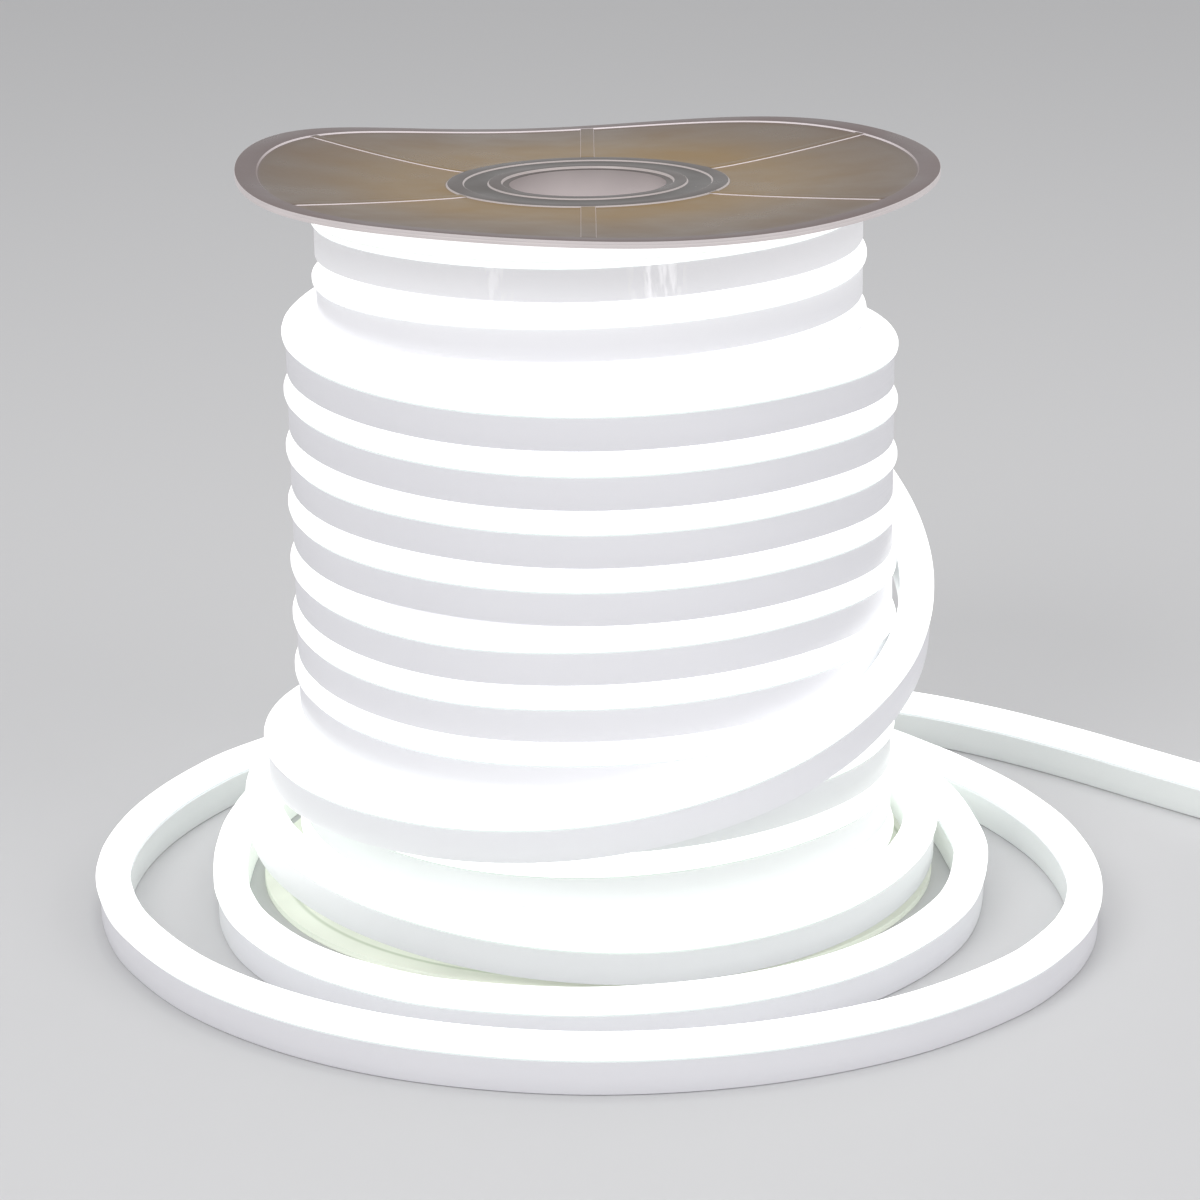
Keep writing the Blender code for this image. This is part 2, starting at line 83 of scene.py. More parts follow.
stripSizes = {
    "width": 0.014,
    "height": 0.026,
    "turnGap": 0.0005,
    "layerPitch": 0.0151,
    "outerLayerRadius": 0.1361,
    "windingFloor": 0.0035,
}
stripPitch = stripSizes["height"] + stripSizes["turnGap"]
innerLayerRadius = stripSizes["outerLayerRadius"] - stripSizes["layerPitch"]

# Rise over one turn of the outer layer, in pitches
outerClimb = (
    (0, 0.030), (25, 0.115), (45, 0.160), (70, 0.134), (90, 0.112), (112, 0.124), (128, 0.166),
    (145, 0.224), (161, 0.288), (180, 0.345), (210, 0.420), (255, 0.700), (300, 0.985), (360, 1.030),
)

# How far each outer turn strays from that, by azimuth from the layer's start
outerUneven = (
    (0, -0.030), (60, -0.030), (120, -0.042), (160, -0.045), (300, -0.010), (420, -0.010),
    (480, -0.050), (520, -0.052), (660, -0.005), (780, -0.010), (840, -0.057), (880, -0.059),
    (1020, 0.0), (1120, 0.0), (1170, -0.016), (1200, -0.064), (1235, -0.068), (1360, -0.010),
    (1480, 0.010), (1530, -0.018), (1560, -0.072), (1595, -0.076), (1720, -0.012), (1840, 0.012),
    (1890, -0.017), (1920, -0.080), (1955, -0.080), (2080, -0.012), (2200, 0.010), (2250, 0.016),
    (2280, 0.036), (2315, 0.004), (2430, 0.0), (2560, 0.002), (2610, 0.010), (2640, 0.050),
    (2675, 0.028), (2800, 0.010), (2920, -0.007), (2970, 0.002), (3000, 0.044), (3035, 0.068),
    (3150, 0.030), (3280, 0.0), (3330, 0.012), (3360, 0.042), (3395, 0.087), (3420, 0.090),
)

# Fall of the inner turns below the flange, in pitches
innerFall = (
    (0, 0.0), (30, 0.062), (59, 0.110), (75, 0.150), (96, 0.190), (135, 0.183), (165, 0.196),
    (180, 0.214), (240, 0.500), (300, 0.870), (340, 0.986), (360, 0.996), (378, 1.026),
    (406, 1.088), (450, 1.183), (495, 1.246), (530, 1.285), (540, 1.305), (600, 1.580),
    (660, 1.910), (700, 1.980), (720, 2.0), (810, 2.225), (900, 2.355), (930, 2.450),
)

# Azimuth from the outer layer's start, distance outside that layer in strip widths, height in pitches
slackRoute = (
    (3420, 0.00, 9.435), (3435, 0.12, 9.455), (3450, 0.50, 9.475), (3465, 1.02, 9.500),
    (3480, 1.20, 9.430), (3495, 1.22, 9.14), (3510, 1.23, 8.72), (3525, 1.24, 8.17),
    (3540, 1.26, 7.56), (3560, 1.28, 6.63), (3577, 1.29, 5.80), (3588, 1.29, 5.28),
    (3600, 1.29, 4.74), (3615, 1.28, 4.14), (3630, 1.27, 3.65), (3645, 1.25, 3.195),
    (3660, 1.24, 2.81), (3675, 1.22, 2.50), (3690, 1.21, 2.26), (3705, 1.20, 2.11),
    (3720, 1.19, 2.03), (3750, 1.17, 1.97), (3780, 1.16, 1.94), (3825, 1.20, 1.70),
    (3870, 1.33, 1.16), (3915, 1.45, 0.56), (3960, 1.52, 0.29), (3984, 1.53, 0.18),
    (4002, 1.54, 0.09), (4020, 1.55, 0.02), (4042, 1.56, 0.01), (4062, 1.60, 0.14),
    (4085, 1.68, 0.37), (4114, 1.80, 0.65), (4140, 1.90, 0.83), (4165, 2.01, 0.85),
    (4185, 2.15, 0.75), (4210, 2.38, 0.51), (4230, 2.54, 0.32),
)

# The free end on the floor: azimuth, radius and height of the strip's underside
floorLoops = (
    (285, 0.1735, 0.0075), (300, 0.1746, 0.0045), (315, 0.1752, 0.0020),
    (330, 0.1755, 0.0006), (345, 0.1753, 0.0002), (360, 0.1768, 0.0002), (375, 0.1840, 0.0002),
    (395, 0.1968, 0.0002), (415, 0.2083, 0.0002), (433, 0.2148, 0.0002), (451, 0.2176, 0.0002),
    (468, 0.2168, 0.0002), (480, 0.2127, 0.0002), (491, 0.2068, 0.0002), (503, 0.1982, 0.0002),
    (514, 0.1894, 0.0002), (524, 0.1820, 0.0002), (534, 0.1776, 0.0002), (546, 0.1758, 0.0002),
    (560, 0.1769, 0.0002), (578, 0.1804, 0.0002), (605, 0.1854, 0.0002), (630, 0.1890, 0.0002),
    (652, 0.1917, 0.0002), (675, 0.1935, 0.0002), (690, 0.1956, 0.0002), (700, 0.2003, 0.0002),
    (708, 0.2067, 0.0002), (716, 0.2143, 0.0002), (724, 0.2232, 0.0002), (733, 0.2336, 0.0002),
    (741, 0.2430, 0.0002), (749, 0.2513, 0.0002), (757, 0.2574, 0.0002), (767, 0.2623, 0.0002),
    (781, 0.2655, 0.0002), (796, 0.2662, 0.0002), (811, 0.2652, 0.0002), (826, 0.2615, 0.0002),
    (840, 0.2568, 0.0002), (855, 0.2506, 0.0002), (870, 0.2441, 0.0002), (882, 0.2390, 0.0002),
    (891, 0.2345, 0.0002), (900, 0.2290, 0.0002), (910, 0.2231, 0.0002), (921, 0.2174, 0.0002),
    (932, 0.2126, 0.0002), (952, 0.2085, 0.0002), (974, 0.2120, 0.0002),
    (1000, 0.2230, 0.0002), (1019, 0.2365, 0.0002), (1032.6, 0.2486, 0.0002),
)

# Its last run out to the right, as plain places
floorRun = (
    (0.2100, 0.1540, 0.0002), (0.2480, 0.1190, 0.0002), (0.2810, 0.0840, 0.0002),
    (0.3110, 0.0520, 0.0004), (0.3400, 0.0230, 0.0013),
)

routeSettings = {
    "stepsPerTurn": 180,
    "hiddenStart": -100.0,
    "crossingStart": -60.0,
    "crossingEnd": -5.0,
    "innerStart": -20.0,
    "innerEnd": 915.0,
    "innerDrop": 0.0004,
    "underTurnStart": -1000.0,
    "innerCrossStart": -52.0,
    "innerCrossEnd": -12.0,
    "underFlangeStart": -85.0,
    "pointsPerFloorSpan": 12,
    "joinLead": 15.0,
}

# Bow of the top flange at its rim: mean lift, then one row for each wave round the rim
flangeBow = {
    "mean": 0.0060,
    "waves": ((1, 0.0016, -148.0), (2, 0.0041, -6.0), (3, 0.0025, -35.0), (4, 0.0014, 28.0)),
    "power": 1.35,
    "start": 0.0667,
    "rim": 0.1635,
    "innerFace": 0.3360,
}


def bowLift(radius, azimuth):
    if radius <= flangeBow["start"]:
        return 0.0
    share = ((radius - flangeBow["start"]) / (flangeBow["rim"] - flangeBow["start"])) ** flangeBow["power"]
    lift = flangeBow["mean"]
    for waves, height, phase in flangeBow["waves"]:
        lift += height * math.cos(math.radians(waves * (azimuth - phase)))
    return lift * share


def smoothValue(table, x, column=1):
    last = len(table) - 1
    i = 0
    while i < last - 1 and x > table[i + 1][0]:
        i += 1
    x0, x1 = table[i][0], table[i + 1][0]
    y0, y1 = table[i][column], table[i + 1][column]

    def slope(k):
        a, b = max(k - 1, 0), min(k + 1, last)
        return (table[b][column] - table[a][column]) / (table[b][0] - table[a][0])

    t = (x - x0) / (x1 - x0)
    m0, m1 = slope(i) * (x1 - x0), slope(i + 1) * (x1 - x0)
    return ((2 * t**3 - 3 * t**2 + 1) * y0 + (t**3 - 2 * t**2 + t) * m0
            + (3 * t**2 - 2 * t**3) * y1 + (t**3 - t**2) * m1)


def eased(value, start, end):
    share = min(max((value - start) / (end - start), 0.0), 1.0)
    return share * share * (3 - 2 * share)


def atAzimuth(azimuth, radius, height):
    angle = math.radians(azimuth)
    return Vector((radius * math.cos(angle), -radius * math.sin(angle), height))


def outerPlace(azimuth):
    outer, floorHeight = stripSizes["outerLayerRadius"], stripSizes["windingFloor"]
    if azimuth < 0:
        share = eased(azimuth, routeSettings["crossingStart"], routeSettings["crossingEnd"])
        return innerLayerRadius + share * stripSizes["layerPitch"], floorHeight
    if azimuth <= slackRoute[0][0]:
        turn = math.floor(azimuth / 360.0)
        climb = smoothValue(outerClimb, azimuth - 360.0 * turn)
        return outer, floorHeight + stripPitch * (turn + climb + smoothValue(outerUneven, azimuth))
    offset, height = smoothValue(slackRoute, azimuth, 1), smoothValue(slackRoute, azimuth, 2)
    return outer + offset * stripSizes["width"], floorHeight + height * stripPitch


def innerPlace(azimuth):
    # Under the flange the layer below ends, steps outward and winds down as the turns that show
    top = flangeBow["innerFace"] - stripSizes["height"] - routeSettings["innerDrop"]
    lift = bowLift(innerLayerRadius, 0.0)
    share = eased(azimuth, routeSettings["innerCrossStart"], routeSettings["innerCrossEnd"])
    radius = innerLayerRadius - stripSizes["layerPitch"] * (1.0 - share)
    if azimuth < 0:
        start = routeSettings["underFlangeStart"]
        bowShare = eased(azimuth, start, routeSettings["innerStart"])
        turnsBelow = max(start - azimuth, 0.0) / 360.0
        return radius, top + lift * bowShare - stripPitch * turnsBelow
    return radius, top + lift - stripPitch * smoothValue(innerFall, azimuth)


def windingPath(place, start, end):
    count = round((end - start) / 360.0 * routeSettings["stepsPerTurn"])
    return [atAzimuth(a, *place(a)) for a in (start + (end - start) * k / count for k in range(count + 1))]


def catmullRom(p0, p1, p2, p3, t):
    return 0.5 * (2 * p1 + (p2 - p0) * t + (2 * p0 - 5 * p1 + 4 * p2 - p3) * t**2
                  + (3 * p1 - p0 - 3 * p2 + p3) * t**3)


def floorPath():
    join = slackRoute[-1][0]
    lead = join - routeSettings["joinLead"]
    route = [atAzimuth(join, *outerPlace(join))]
    route += [atAzimuth(*row) for row in floorLoops] + [Vector(row) for row in floorRun]
    padded = [atAzimuth(lead, *outerPlace(lead))] + route + [2 * route[-1] - route[-2]]
    points = routeSettings["pointsPerFloorSpan"]
    path = []
    for i in range(len(route) - 1):
        for k in range(points):
            path.append(catmullRom(*padded[i:i + 4], k / points))
    path.append(route[-1])
    return path


# Node trees: small helpers that the trees and materials share

def addNode(tree, kind, **values):
    node = tree.nodes.new(kind)
    for key, value in values.items():
        setattr(node, key, value)
    return node


def newTree(name, inputs):
    tree = bpy.data.node_groups.new(name, "GeometryNodeTree")
    tree.is_modifier = True
    for label, kind in [("Geometry", "NodeSocketGeometry")] + inputs:
        tree.interface.new_socket(label, in_out="INPUT", socket_type=kind)
    tree.interface.new_socket("Geometry", in_out="OUTPUT", socket_type="NodeSocketGeometry")
    return tree, addNode(tree, "NodeGroupInput"), addNode(tree, "NodeGroupOutput")


def setInput(modifier, label, value):
    for item in modifier.node_group.interface.items_tree:
        if item.item_type == "SOCKET" and item.in_out == "INPUT" and item.name == label:
            modifier[item.identifier] = value


def treeMesh(name, tree, inputs, baseMesh, bevel=None):
    # The tree runs on a passing object, and what it makes is kept as a plain mesh
    holder = bpy.data.objects.new(name + "Holder", baseMesh)
    bpy.context.scene.collection.objects.link(holder)
    modifier = holder.modifiers.new(tree.name, "NODES")
    modifier.node_group = tree
    for label, value in inputs.items():
        setInput(modifier, label, value)
    if bevel:
        rounding = holder.modifiers.new("Edges", "BEVEL")
        rounding.width, rounding.segments = bevel
        rounding.limit_method = "ANGLE"
        rounding.angle_limit = math.radians(40)
    bpy.context.view_layer.update()
    depsgraph = bpy.context.evaluated_depsgraph_get()
    mesh = bpy.data.meshes.new_from_object(holder.evaluated_get(depsgraph))
    bpy.data.objects.remove(holder, do_unlink=True)
    mesh.name = name
    return mesh


def newPiece(name, mesh, smoothAngle=35):
    mesh.shade_smooth()
    mesh.set_sharp_from_angle(angle=math.radians(smoothAngle))
    piece = bpy.data.objects.new(name, mesh)
    bpy.context.scene.collection.objects.link(piece)
    return piece


# The strip: one tree sweeps a section along a route

stripSettings = {
    "ringSpacing": 0.0055,
    "channelCorner": 0.0008,
    "cornerCutShare": 0.3,
    "channelTop": 0.0150,
    "lobeFoot": 0.0149,
    "lobeWaist": 0.0192,
    "lobeTop": 0.0255,
    "outerSwell": 0.0018,
    "innerSwell": 0.0004,
    "crownPower": 2.05,
    "footPower": 3.2,
    "lobePoints": 24,
}


def makeSweepTree():
    tree, source, result = newTree("stripSweep", [
        ("Section", "NodeSocketObject"), ("Ring Spacing", "NodeSocketFloat"),
        ("Material", "NodeSocketMaterial")])
    link = tree.links.new
    route = addNode(tree, "GeometryNodeMeshToCurve")
    even = addNode(tree, "GeometryNodeResampleCurve", mode="LENGTH")
    upright = addNode(tree, "GeometryNodeSetCurveNormal", mode="Z_UP")
    along = addNode(tree, "GeometryNodeStoreNamedAttribute", data_type="FLOAT", domain="POINT")
    along.inputs["Name"].default_value = "stripLength"
    section = addNode(tree, "GeometryNodeObjectInfo")
    around = addNode(tree, "GeometryNodeStoreNamedAttribute", data_type="FLOAT", domain="POINT")
    around.inputs["Name"].default_value = "sectionRound"
    parameter = addNode(tree, "GeometryNodeSplineParameter")
    sweep = addNode(tree, "GeometryNodeCurveToMesh")
    sweep.inputs["Fill Caps"].default_value = True
    realize = addNode(tree, "GeometryNodeRealizeInstances")
    finish = addNode(tree, "GeometryNodeSetMaterial")
    link(source.outputs["Geometry"], route.inputs[0])
    link(route.outputs[0], even.inputs["Curve"])
    link(source.outputs["Ring Spacing"], even.inputs["Length"])
    link(even.outputs[0], upright.inputs["Curve"])
    link(upright.outputs[0], along.inputs["Geometry"])
    link(parameter.outputs["Length"], along.inputs["Value"])
    link(source.outputs["Section"], section.inputs["Object"])
    link(section.outputs["Geometry"], around.inputs["Geometry"])
    link(parameter.outputs["Factor"], around.inputs["Value"])
    link(along.outputs[0], sweep.inputs["Curve"])
    link(around.outputs[0], sweep.inputs["Profile Curve"])
    link(sweep.outputs[0], realize.inputs[0])
    link(realize.outputs[0], finish.inputs["Geometry"])
    link(source.outputs["Material"], finish.inputs["Material"])
    link(finish.outputs[0], result.inputs[0])
    return tree


def sectionObject(name, points):
    # A closed flat outline, x positive towards the outside of the bend and y upward.
    # The sweep lays its own X to the right of the travel and its Y downward.
    curve = bpy.data.curves.new(name, "CURVE")
    curve.dimensions = "2D"
    spline = curve.splines.new("POLY")
    spline.points.add(len(points) - 1)
    for point, (x, y) in zip(spline.points, points):
        point.co = (-x, -y, 0.0, 1.0)
    spline.use_cyclic_u = True
    guide = bpy.data.objects.new(name, curve)
    bpy.context.scene.collection.objects.link(guide)
    return guide


def channelSection():
    half, corner = stripSizes["width"] / 2, stripSettings["channelCorner"]
    top = stripSettings["channelTop"]
    cut = corner * stripSettings["cornerCutShare"]
    return [(-half, corner), (-half + cut, cut), (-half + corner, 0.0), (half - corner, 0.0),
            (half - cut, cut), (half, corner), (half, top * 0.5), (half, top), (-half, top),
            (-half, top * 0.5)]


def lobeSection():
    # A rounded crown over a fuller foot, wider than the channel on both sides
    half, waist = stripSizes["width"] / 2, stripSettings["lobeWaist"]
    outer, inner = half + stripSettings["outerSwell"], -half - stripSettings["innerSwell"]
    middle, reach = (outer + inner) / 2, (outer - inner) / 2
    points = []
    for k in range(stripSettings["lobePoints"]):
        angle = 2 * math.pi * (k + 0.5) / stripSettings["lobePoints"]
        c, s = math.cos(angle), math.sin(angle)
        power = stripSettings["crownPower"] if s > 0 else stripSettings["footPower"]
        tall = stripSettings["lobeTop"] - waist if s > 0 else waist - stripSettings["lobeFoot"]
        x = middle + reach * math.copysign(abs(c) ** (2 / power), c)
        points.append((x, waist + tall * math.copysign(abs(s) ** (2 / power), s)))
    return points


def sweepStrip(name, path, section, material):
    edges = [(k, k + 1) for k in range(len(path) - 1)]
    line = bpy.data.meshes.new(name + "Route")
    line.from_pydata([tuple(p) for p in path], edges, [])
    inputs = {"Section": section, "Ring Spacing": stripSettings["ringSpacing"], "Material": material}
    return treeMesh(name, sweepTree, inputs, line)


# Shader groups that more than one finish uses

def newGroup(name, inputs, outputs):
    group = bpy.data.node_groups.new(name, "ShaderNodeTree")
    for label, kind, value in inputs:
        socket = group.interface.new_socket(label, in_out="INPUT", socket_type=kind)
        if value is not None:
            socket.default_value = value
    for label, kind in outputs:
        group.interface.new_socket(label, in_out="OUTPUT", socket_type=kind)
    return group, addNode(group, "NodeGroupInput"), addNode(group, "NodeGroupOutput")


def mathNode(tree, operation, *values):
    node = addNode(tree, "ShaderNodeMath", operation=operation)
    for socket, value in zip(node.inputs, values):
        if hasattr(value, "is_output"):
            tree.links.new(value, socket)
        else:
            socket.default_value = value
    return node.outputs[0]


def product(tree, first, *others):
    for other in others:
        first = mathNode(tree, "MULTIPLY", first, other)
    return first


def mixColor(tree, factor, a, b, blend="MIX"):
    node = addNode(tree, "ShaderNodeMix", data_type="RGBA", blend_type=blend)
    for socket, value in ((node.inputs[0], factor), (node.inputs[6], a), (node.inputs[7], b)):
        if hasattr(value, "is_output"):
            tree.links.new(value, socket)
        else:
            socket.default_value = value if isinstance(value, (int, float)) else (*value, 1.0)
    return node.outputs[2]


def noiseNode(tree, vector, scale, detail, roughness):
    node = addNode(tree, "ShaderNodeTexNoise")
    tree.links.new(vector, node.inputs["Vector"])
    node.inputs["Scale"].default_value = scale
    node.inputs["Detail"].default_value = detail
    node.inputs["Roughness"].default_value = roughness
    return node.outputs["Fac"]


def ramp(tree, value, stops, colors=False):
    node = addNode(tree, "ShaderNodeValToRGB")
    tree.links.new(value, node.inputs[0])
    elements = node.color_ramp.elements
    while len(elements) < len(stops):
        elements.new(0.5)
    for element, (place, shade) in zip(elements, stops):
        element.position = place
        element.color = (*shade, 1.0) if colors else (shade, shade, shade, 1.0)
    return node.outputs[0]


def fading(tree, value, span):
    # 1 up to the span's start and 0 from its end
    return ramp(tree, value, ((span[0], 1.0), (span[1], 0.0)))


def separated(tree, place, axis):
    parts = addNode(tree, "ShaderNodeSeparateXYZ")
    tree.links.new(place, parts.inputs[0])
    return parts.outputs[axis]


def radiusValue(tree, place):
    flat = addNode(tree, "ShaderNodeCombineXYZ")
    for axis in (0, 1):
        tree.links.new(separated(tree, place, axis), flat.inputs[axis])
    length = addNode(tree, "ShaderNodeVectorMath", operation="LENGTH")
    tree.links.new(flat.outputs[0], length.inputs[0])
    return length.outputs["Value"]


grainSettings = {
    "speckRarity": 0.93,
    "detail": 3.0,
}


def makeSpeckGroup():
    # Sparse dust specks: a mask that is 1 on a speck
    group, source, result = newGroup("dustSpecks", [
        ("Vector", "NodeSocketVector", None), ("Scale", "NodeSocketFloat", 60.0),
        ("Size", "NodeSocketFloat", 0.06)], [("Mask", "NodeSocketFloat")])
    cells = addNode(group, "ShaderNodeTexVoronoi")
    group.links.new(source.outputs["Vector"], cells.inputs["Vector"])
    group.links.new(source.outputs["Scale"], cells.inputs["Scale"])
    picked = addNode(group, "ShaderNodeSeparateColor")
    group.links.new(cells.outputs["Color"], picked.inputs[0])
    near = mathNode(group, "LESS_THAN", cells.outputs["Distance"], source.outputs["Size"])
    rare = mathNode(group, "GREATER_THAN", picked.outputs[0], grainSettings["speckRarity"])
    group.links.new(mathNode(group, "MULTIPLY", near, rare), result.inputs[0])
    return group


def makeGrainGroup():
    # Moulded grain: a fine height, and a slow cloudiness
    group, source, result = newGroup("mouldedGrain", [
        ("Vector", "NodeSocketVector", None), ("Fine Scale", "NodeSocketFloat", 900.0),
        ("Cloud Scale", "NodeSocketFloat", 14.0)],
        [("Height", "NodeSocketFloat"), ("Cloud", "NodeSocketFloat")])
    for label, output in (("Fine Scale", 0), ("Cloud Scale", 1)):
        noise = addNode(group, "ShaderNodeTexNoise")
        noise.inputs["Detail"].default_value = grainSettings["detail"]
        group.links.new(source.outputs["Vector"], noise.inputs["Vector"])
        group.links.new(source.outputs[label], noise.inputs["Scale"])
        group.links.new(noise.outputs["Fac"], result.inputs[output])
    return group


specks = makeSpeckGroup()
grain = makeGrainGroup()


def useGroup(tree, group, vector, **values):
    node = addNode(tree, "ShaderNodeGroup", node_tree=group)
    tree.links.new(vector, node.inputs["Vector"])
    for label, value in values.items():
        node.inputs[label.replace("_", " ")].default_value = value
    return node


def newFinish(name, roughness=0.4, ior=1.5):
    material = bpy.data.materials.new(name)
    material.use_nodes = True
    tree = material.node_tree
    shader = tree.nodes["Principled BSDF"]
    shader.inputs["Roughness"].default_value = roughness
    shader.inputs["IOR"].default_value = ior
    place = addNode(tree, "ShaderNodeTexCoord").outputs["Object"]
    return material, tree, shader, place


def bumpFrom(tree, shader, height, strength, distance=0.0004):
    bump = addNode(tree, "ShaderNodeBump")
    bump.inputs["Strength"].default_value = strength
    bump.inputs["Distance"].default_value = distance
    tree.links.new(height, bump.inputs["Height"])
    tree.links.new(bump.outputs[0], shader.inputs["Normal"])


pvcSettings = {
    "color": (0.762, 0.757, 0.790),
    "cloudColor": (0.738, 0.734, 0.770),
    "paintedSpillColor": (0.765, 0.795, 0.775),
    "lowTurnShadeColor": (0.62, 0.65, 0.63),
    "speckColor": (0.25, 0.24, 0.25),
    "roughness": (0.30, 0.46),
    "glow": (0.21, 0.21, 0.22),
    "footWallPaintedLight": (1.60, 1.73, 1.61),
    "underFlangePaintedLight": (0.86, 0.87, 0.86),
    "paintedGlintLight": (1.6, 1.6, 1.6),
    "glowStrength": 0.25,
    "inwardSpan": (0.42, 0.46),
    "footHeights": (0.052, 0.085),
    "footRadii": (0.196, 0.206),
    "footCast": 0.45,
    "lowTurnHeights": (0.066, 0.100),
    "lowTurnRadii": (0.1436, 0.1448),
    "footWallLightByX": ((-0.15, 1.0), (0.15, 0.4)),
    "underFlangeLightByHeight": ((0.272, 0.0), (0.286, 0.2), (0.304, 1.0)),
    "glintByHeight": ((0.300, 0.0), (0.303, 1.0)),
    "glintByX": ((-0.048, 0.0), (-0.042, 0.5), (-0.032, 0.0), (0.017, 0.0), (0.024, 1.0),
                  (0.036, 0.8), (0.042, 0.0)),
    "glintLines": ((0.50, 0.0), (0.60, 1.0)),
}


def stripValue(tree, name):
    return addNode(tree, "ShaderNodeAttribute", attribute_name=name).outputs["Fac"]


def stripVector(tree, alongScale, acrossScale):
    # Runs with the strip, so that what the extruder left follows every turn
    joined = addNode(tree, "ShaderNodeCombineXYZ")
    for axis, name, scale in ((0, "stripLength", alongScale), (1, "sectionRound", acrossScale)):
        tree.links.new(mathNode(tree, "MULTIPLY", stripValue(tree, name), scale), joined.inputs[axis])
    return joined.outputs[0]


def facingOutward(tree, place):
    # How far a wall faces away from the reel's axis: 0.5 where it faces neither out nor in
    normal = place.node.outputs["Normal"]
    shares = [product(tree, separated(tree, normal, k), separated(tree, place, k)) for k in (0, 1)]
    return mathNode(tree, "ADD", mathNode(tree, "ADD", *shares), 0.5)


def rampByX(tree, place, stops):
    # The ramp runs from 0 to 1, so x is moved up by a half
    moved = mathNode(tree, "ADD", separated(tree, place, 0), 0.5)
    return ramp(tree, moved, [(x + 0.5, share) for x, share in stops])


def makeSidePvc(settings):
    material, tree, shader, place = newFinish("sidePvc", 0.38)
    texture = useGroup(tree, grain, place, Fine_Scale=1100.0, Cloud_Scale=16.0)
    dust = useGroup(tree, specks, place, Scale=70.0, Size=0.035)
    height, radius = separated(tree, place, 2), radiusValue(tree, place)
    base = mixColor(tree, texture.outputs["Cloud"], settings["color"], settings["cloudColor"])
    # Painted light: the wall inside the bend, and the turns close round the low flange, are painted with the
    # green light that the lobes throw on them
    inside = fading(tree, facingOutward(tree, place), settings["inwardSpan"])
    atFoot = product(tree, fading(tree, height, settings["footHeights"]),
                     fading(tree, radius, settings["footRadii"]))
    green = mathNode(tree, "MAXIMUM", inside, product(tree, atFoot, settings["footCast"]))
    base = mixColor(tree, green, base, settings["paintedSpillColor"])
    # Painted shade: the lowest wound turns, which stand between bright lobes, are painted darker
    lowTurnShade = product(tree, fading(tree, height, settings["lowTurnHeights"]),
                       fading(tree, radius, settings["lowTurnRadii"]))
    base = mixColor(tree, lowTurnShade, base, settings["lowTurnShadeColor"])
    base = mixColor(tree, product(tree, dust.outputs["Mask"], 0.7), base, settings["speckColor"])
    tree.links.new(base, shader.inputs["Base Color"])
    streaks = noiseNode(tree, stripVector(tree, 9.0, 60.0), 1.0, 4.0, 0.6)
    smooth, rough = settings["roughness"]
    tree.links.new(ramp(tree, streaks, ((0.35, smooth), (0.65, rough))), shader.inputs["Roughness"])
    # A little light comes through the PVC everywhere; the extra glow under the flange, and at the foot inside
    # the bend, is painted light that the lobes throw there
    underFlange = ramp(tree, height, settings["underFlangeLightByHeight"])
    glow = mixColor(tree, underFlange, settings["glow"], settings["underFlangePaintedLight"])
    footWall = product(tree, atFoot, inside, rampByX(tree, place, settings["footWallLightByX"]))
    glow = mixColor(tree, footWall, glow, settings["footWallPaintedLight"])
    # Painted reflections: short bright streaks on the topmost turn, glints of the lamps in the glossy PVC
    lines = ramp(tree, noiseNode(tree, stripVector(tree, 260.0, 3.0), 1.0, 2.0, 0.6), settings["glintLines"])
    paintedGlint = product(tree, rampByX(tree, place, settings["glintByX"]), lines,
                    ramp(tree, height, settings["glintByHeight"]))
    glow = mixColor(tree, paintedGlint, glow, settings["paintedGlintLight"])
    tree.links.new(glow, shader.inputs["Emission Color"])
    shader.inputs["Emission Strength"].default_value = settings["glowStrength"]
    bumpFrom(tree, shader, texture.outputs["Height"], 0.05)
    return material


diffuserSettings = {
    "color": (0.92, 0.94, 0.93),
    "cloudColor": (0.90, 0.92, 0.91),
    "crownGlow": (1.0, 1.0, 1.0),
    "footGlow": (0.46, 0.52, 0.47),
    "strength": 0.88,
    "footSpan": ((0.56, 0.0), (0.59, 1.0), (0.905, 1.0), (0.93, 0.0)),
}


def makeLitDiffuser(settings):
    material, tree, shader, place = newFinish("litDiffuser", 0.42)
    texture = useGroup(tree, grain, place, Fine_Scale=900.0, Cloud_Scale=40.0)
    shader.inputs["Emission Strength"].default_value = settings["strength"]
    foot = ramp(tree, stripValue(tree, "sectionRound"), settings["footSpan"])
    glow = mixColor(tree, foot, settings["crownGlow"], settings["footGlow"])
    tree.links.new(glow, shader.inputs["Emission Color"])
    shade = mixColor(tree, texture.outputs["Cloud"], settings["color"], settings["cloudColor"])
    tree.links.new(shade, shader.inputs["Base Color"])
    bumpFrom(tree, shader, texture.outputs["Height"], 0.03)
    return material


sidePvc = makeSidePvc(pvcSettings)
litDiffuser = makeLitDiffuser(diffuserSettings)
print("scene: strip finishes made")

sweepTree = makeSweepTree()
channelGuide = sectionObject("channelSection", channelSection())
lobeGuide = sectionObject("lobeSection", lobeSection())

outerPath = windingPath(outerPlace, routeSettings["hiddenStart"], slackRoute[-1][0])
outerSides = newPiece("outerStripSides", sweepStrip("outerStripSides", outerPath, channelGuide, sidePvc))
outerLobe = newPiece("outerStripLobe", sweepStrip("outerStripLobe", outerPath, lobeGuide, litDiffuser))
innerPath = windingPath(innerPlace, routeSettings["underTurnStart"], routeSettings["innerEnd"])
innerSides = newPiece("innerStripSides", sweepStrip("innerStripSides", innerPath, channelGuide, sidePvc))
innerLobe = newPiece("innerStripLobe", sweepStrip("innerStripLobe", innerPath, lobeGuide, litDiffuser))
for piece, node, slot in ((outerSides, "wound_strip_channel", "strip_channel"),
                          (outerLobe, "wound_strip_diffuser", "strip_diffuser"),
                          (innerSides, "inner_turns_channel", "strip_channel"),
                          (innerLobe, "inner_turns_diffuser", "strip_diffuser")):
    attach(piece, "root")
    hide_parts(node)
print("scene: wound strip made,", sum(len(p.data.polygons) for p in (outerSides, outerLobe)), "faces")


# The free end: sides and lobe in one piece, and its end cap

